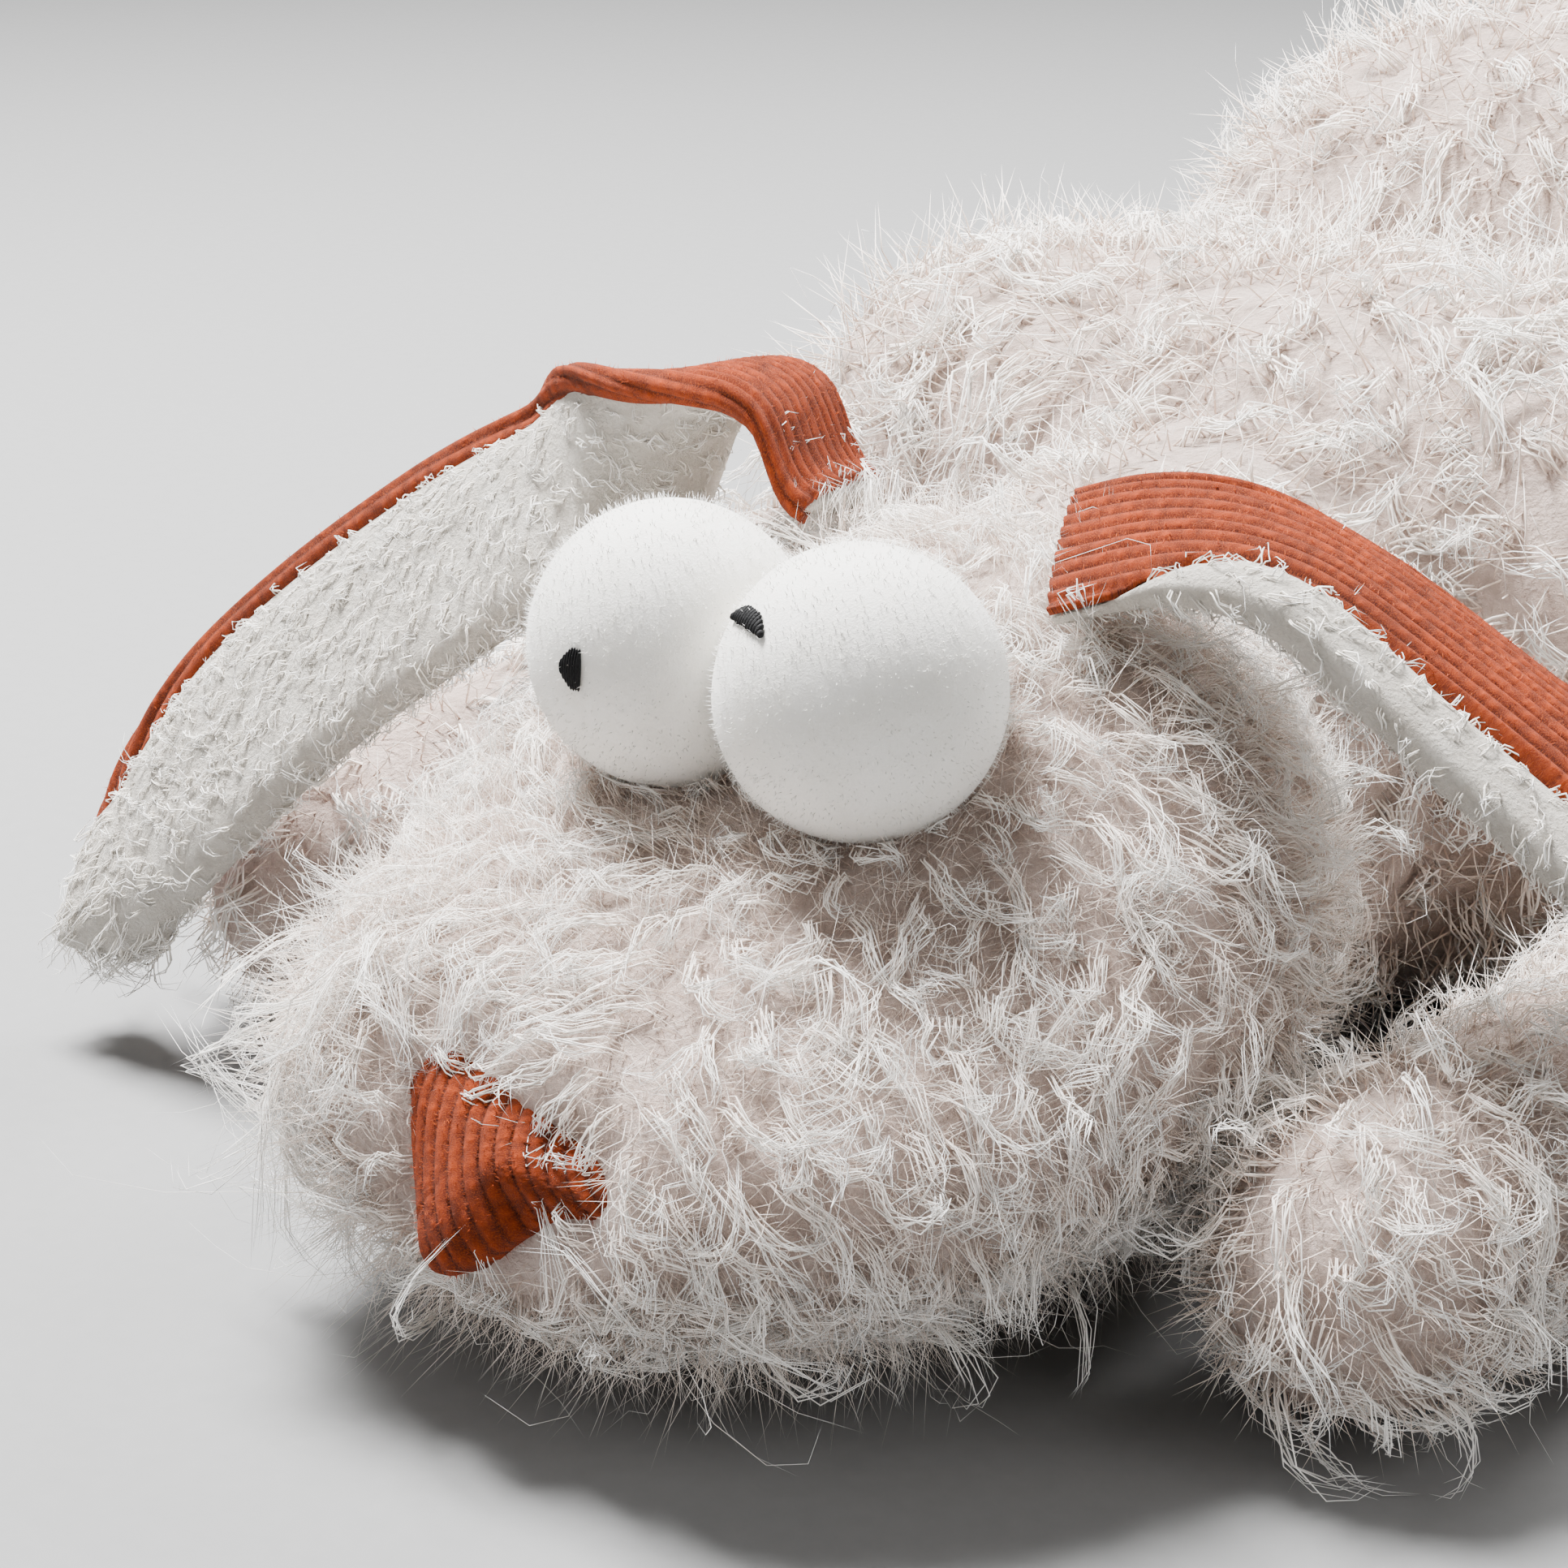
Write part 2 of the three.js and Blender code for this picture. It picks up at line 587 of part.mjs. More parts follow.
// Ears: corduroy back over a plush lining
for (const [name, ear] of [['left', LEFT_EAR], ['right', RIGHT_EAR]]) {
  addPiece(`${name}_ear_back`, earBack(ear), corduroy);
  addPiece(`${name}_ear_lining`, earLining(ear), liningPlush);
}

// Origin under the middle of the whole toy, on the ground
const extent = new THREE.Box3().setFromObject(bunny, true);
bunny.position.set(-(extent.min.x + extent.max.x) / 2, -(extent.min.y + extent.max.y) / 2, 0);

export default bunny;
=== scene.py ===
"""A plush bunny lying on its belly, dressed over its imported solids.

Stuffed covers are swollen by a cloth simulation and carry long curly fur. The ball eyes are velour
with stitched pupils, the nose and the ear backs are ribbed corduroy, and the ears are lined with plush.
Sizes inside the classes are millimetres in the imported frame; finished meshes are metres.
"""

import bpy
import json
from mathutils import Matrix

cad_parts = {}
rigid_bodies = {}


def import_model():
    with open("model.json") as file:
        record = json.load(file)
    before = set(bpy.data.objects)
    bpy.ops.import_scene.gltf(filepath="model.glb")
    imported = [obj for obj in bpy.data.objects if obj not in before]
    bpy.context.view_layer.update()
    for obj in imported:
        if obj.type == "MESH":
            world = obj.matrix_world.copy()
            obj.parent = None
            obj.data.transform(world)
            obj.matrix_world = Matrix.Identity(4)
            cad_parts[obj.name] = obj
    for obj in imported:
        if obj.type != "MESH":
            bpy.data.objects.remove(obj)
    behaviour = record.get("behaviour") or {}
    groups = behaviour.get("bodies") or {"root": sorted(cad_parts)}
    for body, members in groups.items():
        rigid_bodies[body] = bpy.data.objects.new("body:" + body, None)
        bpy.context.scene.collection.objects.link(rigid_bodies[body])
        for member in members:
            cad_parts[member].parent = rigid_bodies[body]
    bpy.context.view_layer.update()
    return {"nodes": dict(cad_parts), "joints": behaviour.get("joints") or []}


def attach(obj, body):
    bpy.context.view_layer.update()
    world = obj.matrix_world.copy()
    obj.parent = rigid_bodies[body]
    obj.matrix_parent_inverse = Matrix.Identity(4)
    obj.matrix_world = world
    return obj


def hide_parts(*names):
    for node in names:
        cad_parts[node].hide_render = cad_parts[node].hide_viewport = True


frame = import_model()

import json
import logging
import math
from collections.abc import Callable
from dataclasses import dataclass, field
from enum import Enum

import bpy
import numpy as np
from mathutils import Vector
from mathutils.bvhtree import BVHTree

LOG = logging.getLogger("bunny")
MM = 0.001
Array = np.ndarray
Colour = tuple[float, float, float]

JOINTS = {joint["name"]: np.array(joint["pos_m"]) / MM for joint in frame["joints"]}
NECK_CENTRE = JOINTS["head_nod"]
EYE_HEIGHT = 84.19
EYE_SPREAD = 15.2
EYE_RADIUS = 18.3
EYE_ROW = float(NECK_CENTRE[1]) - 96
NOSE_TILT = math.radians(35)
NOSE_ROLL = math.radians(10)
NOSE_ORIGIN = np.array([0.0, EYE_ROW - 49, 34.5])
NOSE_OUT = np.array([0.0, -math.cos(NOSE_TILT), math.sin(NOSE_TILT)])
LEVEL = np.array([1.0, 0.0, 0.0])
STEEP = np.array([0.0, math.sin(NOSE_TILT), math.cos(NOSE_TILT)])
NOSE_RIGHT = math.cos(NOSE_ROLL) * LEVEL - math.sin(NOSE_ROLL) * STEEP
NOSE_UP = math.sin(NOSE_ROLL) * LEVEL + math.cos(NOSE_ROLL) * STEEP
HEAD_END = EYE_ROW + 80
SHOULDER = JOINTS["right_arm_swing"] + np.array([6, 24, 36])
FLOOR_CLEARANCE = 0.35
UV_NAME = "OFBake"
RIB_MAP = "ribs"


class Side(Enum):
    """The bunny's own left, towards +X, and right."""

    LEFT = 1
    RIGHT = -1

    @property
    def word(self) -> str:
        """The side's name as it starts a piece's name."""
        return self.name.lower()


class Cut(Enum):
    """Where a half-moon pupil is cut straight."""

    BELOW = "below"
    SIDE = "side"


def unit(vectors: Array) -> Array:
    """Scales vectors to length one.

    Args:
        vectors: rows of three numbers.

    Returns:
        The same rows at length one.
    """
    return vectors / np.maximum(np.linalg.norm(vectors, axis=-1, keepdims=True), 1e-9)


def smooth(value: Array | float, low: float, high: float) -> Array | float:
    """Rises gently from 0 at low to 1 at high.

    Args:
        value: where to read it.
        low: start of the rise.
        high: end of the rise.

    Returns:
        The share risen at value.
    """
    t = np.clip((value - low) / (high - low), 0.0, 1.0)
    return t * t * (3 - 2 * t)


def turned(vectors: Array, axes: Array, angles: Array) -> Array:
    """Turns each vector about its own axis.

    Args:
        vectors: rows to turn.
        axes: unit axes, one a row.
        angles: radians, one a row.

    Returns:
        The turned rows.
    """
    c = np.cos(angles)[:, None]
    s = np.sin(angles)[:, None]
    along = np.sum(vectors * axes, axis=1, keepdims=True)
    return vectors * c + np.cross(axes, vectors) * s + axes * along * (1 - c)


def distance(points: Array, centre: Array) -> Array:
    """Measures how far points lie from one place."""
    return np.linalg.norm(points - centre, axis=1)


def laid_flat(ways: Array, normals: Array) -> Array:
    """Turns directions until they lie along a surface.

    Args:
        ways: rows of directions.
        normals: the surface's normal at each.

    Returns:
        Unit directions along the surface.
    """
    return unit(ways - normals * np.sum(ways * normals, axis=1, keepdims=True))


def eye_centre(side: Side) -> Array:
    """Finds the middle of one ball eye."""
    return np.array([side.value * EYE_SPREAD, EYE_ROW, EYE_HEIGHT])


def nose_place(points: Array) -> tuple[Array, Array]:
    """Reads points in the nose's own directions.

    Args:
        points: points in millimetres.

    Returns:
        Sideways and upward distances from the nose's middle.
    """
    rel = points - NOSE_ORIGIN
    return rel @ NOSE_RIGHT, rel @ NOSE_UP


def rows_of(items: bpy.types.bpy_prop_collection, key: str) -> Array:
    """Reads three numbers from each of a mesh's items.

    Args:
        items: the mesh's vertices or their normals.
        key: what is read.

    Returns:
        One row for each item.
    """
    flat = np.empty(len(items) * 3, np.float32)
    items.foreach_get(key, flat)
    return flat.reshape(-1, 3).astype(float)


def points_of(obj: bpy.types.Object) -> Array:
    """Reads an object's vertices in millimetres."""
    return rows_of(obj.data.vertices, "co") / MM


def normals_of(obj: bpy.types.Object) -> Array:
    """Reads the unit normal of each of an object's vertices."""
    return rows_of(obj.data.vertex_normals, "vector")


def set_points(obj: bpy.types.Object, points: Array) -> None:
    """Moves an object's vertices.

    Args:
        obj: a mesh object at the origin.
        points: its new points in millimetres.
    """
    obj.data.vertices.foreach_set("co", (points * MM).astype(np.float32).ravel())
    obj.data.update()


def deselect() -> None:
    """Leaves nothing selected, so that an operator acts on its own piece alone."""
    for obj in bpy.context.view_layer.objects.selected:
        obj.select_set(False)


def take(obj: bpy.types.Object) -> bpy.types.Object:
    """Makes one object the selected and active one and returns it.

    Args:
        obj: the object.

    Returns:
        The same object.
    """
    deselect()
    obj.select_set(True)
    bpy.context.view_layer.objects.active = obj
    return obj


def fresh(name: str) -> bpy.types.Object:
    """Names the primitive that was just added and returns it.

    Args:
        name: its name.

    Returns:
        The primitive.
    """
    obj = bpy.context.active_object
    obj.name = name
    obj.data.name = name
    return obj


def grid(name: str, columns: int, rows: int) -> tuple[bpy.types.Object, Array]:
    """Adds a flat square grid that is then shaped.

    Args:
        name: the piece's name.
        columns: faces across.
        rows: faces along.

    Returns:
        The grid and its points, from -0.5 to 0.5 both ways.
    """
    deselect()
    bpy.ops.mesh.primitive_grid_add(x_subdivisions=columns, y_subdivisions=rows, size=1)
    obj = fresh(name)
    return obj, points_of(obj) * MM


def apply_modifier(obj: bpy.types.Object, kind: str, **values: object) -> None:
    """Adds a modifier and applies it.

    Args:
        obj: the piece.
        kind: the modifier's type.
        **values: its settings.
    """
    take(obj)
    modifier = obj.modifiers.new(kind.lower(), kind)
    for key, value in values.items():
        setattr(modifier, key, value)
    bpy.ops.object.modifier_apply(modifier=modifier.name)


def smooth_shaded(obj: bpy.types.Object) -> None:
    """Shades a piece smooth."""
    take(obj)
    bpy.ops.object.shade_smooth()


def sew_shut(obj: bpy.types.Object, gap: float) -> None:
    """Merges the edges of a rolled-up grid that meet, closes its ends and turns its faces out.

    Args:
        obj: the grid in its final form.
        gap: points nearer than this become one, in metres.
    """
    take(obj)
    bpy.ops.object.mode_set(mode="EDIT")
    bpy.ops.mesh.select_all(action="SELECT")
    bpy.ops.mesh.remove_doubles(threshold=gap)
    bpy.ops.mesh.select_all(action="DESELECT")
    bpy.ops.mesh.select_non_manifold()
    bpy.ops.mesh.edge_face_add()
    bpy.ops.mesh.select_all(action="SELECT")
    bpy.ops.mesh.normals_make_consistent(inside=False)
    bpy.ops.object.mode_set(mode="OBJECT")
    smooth_shaded(obj)


def map_ribs(obj: bpy.types.Object, across: Array, along: Array) -> None:
    """Gives corduroy the map that its material reads.

    Args:
        obj: the corduroy.
        across: each vertex's place in ribs.
        along: each vertex's place in millimetres.
    """
    loops = np.empty(len(obj.data.loops), np.int32)
    obj.data.loops.foreach_get("vertex_index", loops)
    uv = np.stack([across, along], axis=1)[loops]
    layer = obj.data.uv_layers.new(name=RIB_MAP)
    layer.data.foreach_set("uv", uv.astype(np.float32).ravel())


def raw_mesh(name: str, points: Array, loops: Array, starts: Array, uv: Array) -> bpy.types.Object:
    """Makes a mesh object from arrays.

    Args:
        name: the piece's name.
        points: vertices in millimetres.
        loops: vertex index of each face corner.
        starts: first corner of each face.
        uv: a map position for each vertex.

    Returns:
        The new object, at the origin.
    """
    mesh = bpy.data.meshes.new(name)
    mesh.vertices.add(len(points))
    mesh.vertices.foreach_set("co", (points * MM).astype(np.float32).ravel())
    mesh.loops.add(len(loops))
    mesh.loops.foreach_set("vertex_index", loops.astype(np.int32))
    mesh.polygons.add(len(starts))
    mesh.polygons.foreach_set("loop_start", starts.astype(np.int32))
    mesh.update(calc_edges=True)
    layer = mesh.uv_layers.new(name=UV_NAME)
    layer.data.foreach_set("uv", uv[loops].astype(np.float32).ravel())
    obj = bpy.data.objects.new(name, mesh)
    bpy.context.scene.collection.objects.link(obj)
    return obj


class NodeSheet:
    """A material's nodes, with short calls to add and join them."""

    def __init__(self, name: str) -> None:
        """Starts a material with its Principled shader.

        Args:
            name: the material's name.
        """
        self.material = bpy.data.materials.new(name)
        self.material.use_nodes = True
        self.nodes = self.material.node_tree.nodes
        self.shader = self.nodes["Principled BSDF"]

    def add(self, kind: str, inputs: dict | None = None, **values: object) -> bpy.types.Node:
        """Adds a node.

        Args:
            kind: the node's type, without ShaderNode.
            inputs: values or output sockets for its inputs, by name or place.
            **values: its own settings.

        Returns:
            The node.
        """
        node = self.nodes.new("ShaderNode" + kind)
        for key, value in values.items():
            setattr(node, key, value)
        for key, value in (inputs or {}).items():
            self.set(node.inputs[key], value)
        return node

    def set(self, socket: bpy.types.NodeSocket, value: object) -> None:
        """Gives a socket a number, a colour or another node's output.

        Args:
            socket: the input.
            value: what it gets.
        """
        if isinstance(value, bpy.types.NodeSocket):
            self.material.node_tree.links.new(value, socket)
        else:
            socket.default_value = value

    def shade(self, **sockets: object) -> bpy.types.Material:
        """Sets the shader's sockets, named with _ for a space, and returns the material.

        Args:
            **sockets: values or outputs by input name.

        Returns:
            The material.
        """
        for key, value in sockets.items():
            self.set(self.shader.inputs[key.replace("_", " ")], value)
        return self.material

    def ramp(self, factor: bpy.types.NodeSocket, stops: list[tuple[float, Colour]]) -> bpy.types.NodeSocket:
        """Colours a number.

        Args:
            factor: the number, from 0 to 1.
            stops: places and their colours, two or more.

        Returns:
            The colour's socket.
        """
        node = self.add("ValToRGB", {0: factor})
        elements = node.color_ramp.elements
        while len(elements) < len(stops):
            elements.new(0.5)
        for element, (place, colour) in zip(elements, stops):
            element.position = place
            element.color = (*colour, 1)
        return node.outputs[0]

    def mixed(self, factor: object, first: object, second: object) -> bpy.types.NodeSocket:
        """Mixes two colours.

        Args:
            factor: share of the second, a number or a socket.
            first: a colour or a socket.
            second: a colour or a socket.

        Returns:
            The mixed colour's socket.
        """
        node = self.add("Mix", data_type="RGBA")
        for place, value in ((0, factor), (6, first), (7, second)):
            plain = isinstance(value, tuple) and len(value) == 3
            self.set(node.inputs[place], (*value, 1) if plain else value)
        return node.outputs[2]

    def spot(self) -> bpy.types.NodeSocket:
        """Reads the place on the piece, in its own coordinates."""
        return self.add("TexCoord").outputs["Object"]

    def noise(self, spot: bpy.types.NodeSocket, scale: float, detail: float,
              **inputs: float) -> bpy.types.NodeSocket:
        """Adds a cloudy pattern.

        Args:
            spot: where it is read.
            scale: waves to the unit of spot.
            detail: how many finer waves it adds.
            **inputs: its other inputs.

        Returns:
            The pattern's socket.
        """
        values = {"Vector": spot, "Scale": scale, "Detail": detail, **inputs}
        return self.add("TexNoise", values).outputs[0]

    def maths(self, operation: str, *values: object) -> bpy.types.NodeSocket:
        """Works out a number from numbers or sockets and returns its socket."""
        node = self.add("Math", dict(enumerate(values)), operation=operation)
        return node.outputs[0]

    def bump(self, height: bpy.types.NodeSocket, strength: float, distance: float) -> bpy.types.NodeSocket:
        """Turns a height into a normal.

        Args:
            height: the height's socket.
            strength: share of the effect.
            distance: metres of a height of 1.

        Returns:
            The normal's socket.
        """
        node = self.add("Bump", {"Height": height, "Strength": strength, "Distance": distance})
        return node.outputs[0]


@dataclass(frozen=True)
class FurFinish:
    """Hair whose colour runs from root to tip, the darker root partly painted shade, and differs a little
    between hairs.
    """

    name: str
    root: Colour
    middle: Colour
    tip: Colour
    spread: float = 0.1
    roughness: float = 0.75
    sheen: float = 0.25

    def material(self) -> bpy.types.Material:
        """Makes the material from the map that runs along each hair.

        Returns:
            The material.
        """
        sheet = NodeSheet(self.name)
        place = sheet.add("SeparateXYZ", {0: sheet.add("UVMap", uv_map=UV_NAME).outputs[0]})
        # The darker, pinker root is partly the backing's own tone and partly painted shade deep in the pile.
        along = sheet.ramp(place.outputs[1], [(0.05, self.root), (0.5, self.middle), (0.95, self.tip)])
        shade = sheet.add("MapRange", {0: place.outputs[0], 3: 1 - self.spread, 4: 1 + self.spread})
        colour = sheet.add("HueSaturation", {"Value": shade.outputs[0], "Color": along})
        return sheet.shade(Base_Color=colour.outputs[0], Roughness=self.roughness, Sheen_Weight=self.sheen,
                           Sheen_Roughness=0.4, Specular_IOR_Level=0.25)


@dataclass(frozen=True)
class BackingFinish:
    """The woven ground that the fur grows from, seen only between the locks, its pinkish beige darkened as
    painted shade among the hair.
    """

    name: str
    light: Colour
    dark: Colour
    grain: float = 900

    def material(self) -> bpy.types.Material:
        """Makes the material: matted short fluff in two tones, kept dark as painted shade between the hairs.

        Returns:
            The material.
        """
        sheet = NodeSheet(self.name)
        spot = sheet.spot()
        mat = sheet.noise(spot, self.grain, 6, Roughness=0.65)
        tuft = sheet.noise(spot, self.grain / 7, 2)
        # Both tones are painted shade between the hairs over the ground's own pinkish beige.
        colour = sheet.ramp(sheet.mixed(0.5, mat, tuft), [(0.35, self.dark), (0.65, self.light)])
        normal = sheet.bump(mat, 0.9, 0.002)
        return sheet.shade(Base_Color=colour, Roughness=0.95, Normal=normal, Sheen_Weight=0.3,
                           Specular_IOR_Level=0.15)


@dataclass(frozen=True)
class VelourFinish:
    """Short white pile of the ball eyes."""

    name: str
    light: Colour
    shade: Colour

    def material(self) -> bpy.types.Material:
        """Makes the material: a faint brushed mottle with a felted grain.

        Returns:
            The material.
        """
        sheet = NodeSheet(self.name)
        spot = sheet.spot()
        fine = sheet.noise(spot, 2600, 4, Roughness=0.7)
        brushed = sheet.noise(spot, 160, 4, Distortion=0.6)
        colour = sheet.ramp(sheet.mixed(0.45, brushed, fine), [(0.36, self.shade), (0.58, self.light)])
        normal = sheet.bump(fine, 0.35, 0.0006)
        return sheet.shade(Base_Color=colour, Roughness=0.9, Normal=normal, Sheen_Weight=0.5,
                           Sheen_Roughness=0.35, Specular_IOR_Level=0.2)


@dataclass(frozen=True)
class CorduroyFinish:
    """Ribbed cotton pile; the map runs in ribs across and in millimetres along."""

    name: str
    rib: Colour
    bright: Colour
    groove: Colour
    tuft: float = 1.15

    def material(self) -> bpy.types.Material:
        """Makes the material: grooves darkened as painted shade, and each rib broken into small brushed tufts
        with painted shade between them and painted highlight on their raised tips.

        Returns:
            The material.
        """
        sheet = NodeSheet(self.name)
        place = sheet.add("SeparateXYZ", {0: sheet.add("UVMap", uv_map=RIB_MAP).outputs[0]})
        across, along = place.outputs[0], place.outputs[1]
        wave = sheet.maths("ABSOLUTE", sheet.maths("COSINE", sheet.maths("MULTIPLY", across, math.pi)))
        height = sheet.maths("POWER", wave, 0.6)
        rows = sheet.maths("FLOOR", sheet.maths("ADD", across, 0.5))
        stagger = sheet.maths("MULTIPLY", rows, 0.37)
        steps = sheet.maths("ADD", sheet.maths("DIVIDE", along, self.tuft), stagger)
        cell = sheet.add("CombineXYZ", {0: sheet.maths("MULTIPLY", across, 1.6), 1: steps})
        tufts = sheet.add("TexVoronoi", {"Vector": cell.outputs[0], "Scale": 1.0, "Randomness": 0.8},
                          feature="SMOOTH_F1")
        fluff = sheet.noise(cell.outputs[0], 7, 5, Roughness=0.75)
        worn = sheet.noise(sheet.spot(), 70, 3)
        # Painted shade: the ground darkens to the groove colour where the rib is low.
        ground = sheet.ramp(height, [(0.3, self.groove), (0.85, self.rib)])
        # Painted shade between the tufts, where their bump sinks.
        gaps = sheet.ramp(tufts.outputs[0], [(0.2, (0, 0, 0)), (0.7, (0.85, 0.85, 0.85))])
        # Painted highlight: the bright colour on the tufts where their bump rises.
        tips = sheet.ramp(fluff, [(0.46, (0, 0, 0)), (0.66, (0.8, 0.8, 0.8))])
        tipped = sheet.mixed(tips, sheet.mixed(gaps, ground, self.groove), self.bright)
        value = sheet.add("MapRange", {0: worn, 1: 0.3, 2: 0.7, 3: 0.8, 4: 1.2})
        colour = sheet.add("HueSaturation", {"Value": value.outputs[0], "Color": tipped})
        relief = sheet.maths("SUBTRACT", sheet.maths("MULTIPLY", fluff, 0.5), tufts.outputs[0])
        return sheet.shade(Base_Color=colour.outputs[0], Roughness=0.9,
                           Normal=sheet.bump(relief, 1.0, 0.0011), Sheen_Weight=0.05, Sheen_Roughness=0.45,
                           Specular_IOR_Level=0.2)


@dataclass(frozen=True)
class ThreadFinish:
    """Twisted embroidery thread."""

    name: str
    colour: Colour
    gleam: Colour

    def material(self) -> bpy.types.Material:
        """Makes the material: fine fibres along the stitches, flecked with a painted gleam.

        Returns:
            The material.
        """
        sheet = NodeSheet(self.name)
        fibre = sheet.noise(sheet.spot(), 3500, 3)
        # The gleam colour is a painted highlight on the thread.
        colour = sheet.ramp(fibre, [(0.4, self.colour), (0.75, self.gleam)])
        normal = sheet.bump(fibre, 0.4, 0.0003)
        return sheet.shade(Base_Color=colour, Roughness=0.7, Normal=normal, Specular_IOR_Level=0.2)


@dataclass(frozen=True)
class FloorFinish:
    """Plain pale studio floor."""

    name: str
    colour: Colour

    def material(self) -> bpy.types.Material:
        """Makes the material: matt paper with the faintest grain.

        Returns:
            The material.
        """
        sheet = NodeSheet(self.name)
        darker = tuple(0.96 * c for c in self.colour)
        colour = sheet.ramp(sheet.noise(sheet.spot(), 300, 4), [(0.3, darker), (0.7, self.colour)])
        return sheet.shade(Base_Color=colour, Roughness=0.8, Specular_IOR_Level=0.2)


@dataclass
class Wardrobe:
    """Every material of the bunny, made once."""

    locks: bpy.types.Material = field(default_factory=FurFinish(
        "curly_fur", (0.91, 0.80, 0.72), (0.965, 0.93, 0.88), (0.985, 0.97, 0.945), spread=0.04).material)
    # The undercoat's dark pinkish root is partly painted shade deep in the pile.
    undercoat: bpy.types.Material = field(default_factory=FurFinish(
        "fur_undercoat", (0.72, 0.54, 0.44), (0.88, 0.76, 0.67), (0.95, 0.885, 0.82), spread=0.09).material)
    # The backing's dark tones are partly painted shade between the locks.
    backing: bpy.types.Material = field(default_factory=BackingFinish(
        "fur_backing", (0.74, 0.59, 0.52), (0.50, 0.37, 0.31)).material)
    velour: bpy.types.Material = field(default_factory=VelourFinish(
        "eye_velour", (0.94, 0.92, 0.875), (0.87, 0.845, 0.785)).material)
    velour_pile: bpy.types.Material = field(default_factory=FurFinish(
        "eye_velour_pile", (0.88, 0.86, 0.80), (0.94, 0.925, 0.885), (0.97, 0.96, 0.935),
        spread=0.06).material)
    # The groove colour is painted shade and the bright colour a painted highlight on the corduroy.
    corduroy: bpy.types.Material = field(default_factory=CorduroyFinish(
        "orange_corduroy", (0.35, 0.040, 0.001), (0.51, 0.080, 0.003), (0.065, 0.007, 0.001)).material)
    nap: bpy.types.Material = field(default_factory=FurFinish(
        "corduroy_nap", (0.30, 0.032, 0.001), (0.42, 0.055, 0.003), (0.54, 0.10, 0.007),
        spread=0.2, sheen=0.05).material)
    # The lining ground is darkened as painted shade between the curls.
    lining: bpy.types.Material = field(default_factory=BackingFinish(
        "lining_ground", (0.82, 0.77, 0.69), (0.62, 0.56, 0.48), 1400).material)
    lining_pile: bpy.types.Material = field(default_factory=FurFinish(
        "lining_curls", (0.80, 0.74, 0.65), (0.93, 0.90, 0.85), (0.98, 0.965, 0.94), spread=0.1).material)
    thread: bpy.types.Material = field(default_factory=ThreadFinish(
        "black_thread", (0.003, 0.003, 0.0035), (0.012, 0.012, 0.013)).material)


def dress(obj: bpy.types.Object, material: bpy.types.Material, slot: str, body: str, *nodes: str) -> None:
    """Gives a finished piece its material and its body, and hides the solids it stands for.

    Args:
        obj: the piece.
        material: its finish.
        slot: the record's material slot, not used.
        body: the body that it rides on.
        *nodes: the solids that it replaces.
    """
    obj.data.materials.clear()
    obj.data.materials.append(material)
    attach(obj, body)
    if nodes:
        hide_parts(*nodes)
    obj.data.calc_loop_triangles()
    LOG.info("%s on %s: %d triangles", obj.name, body, len(obj.data.loop_triangles))


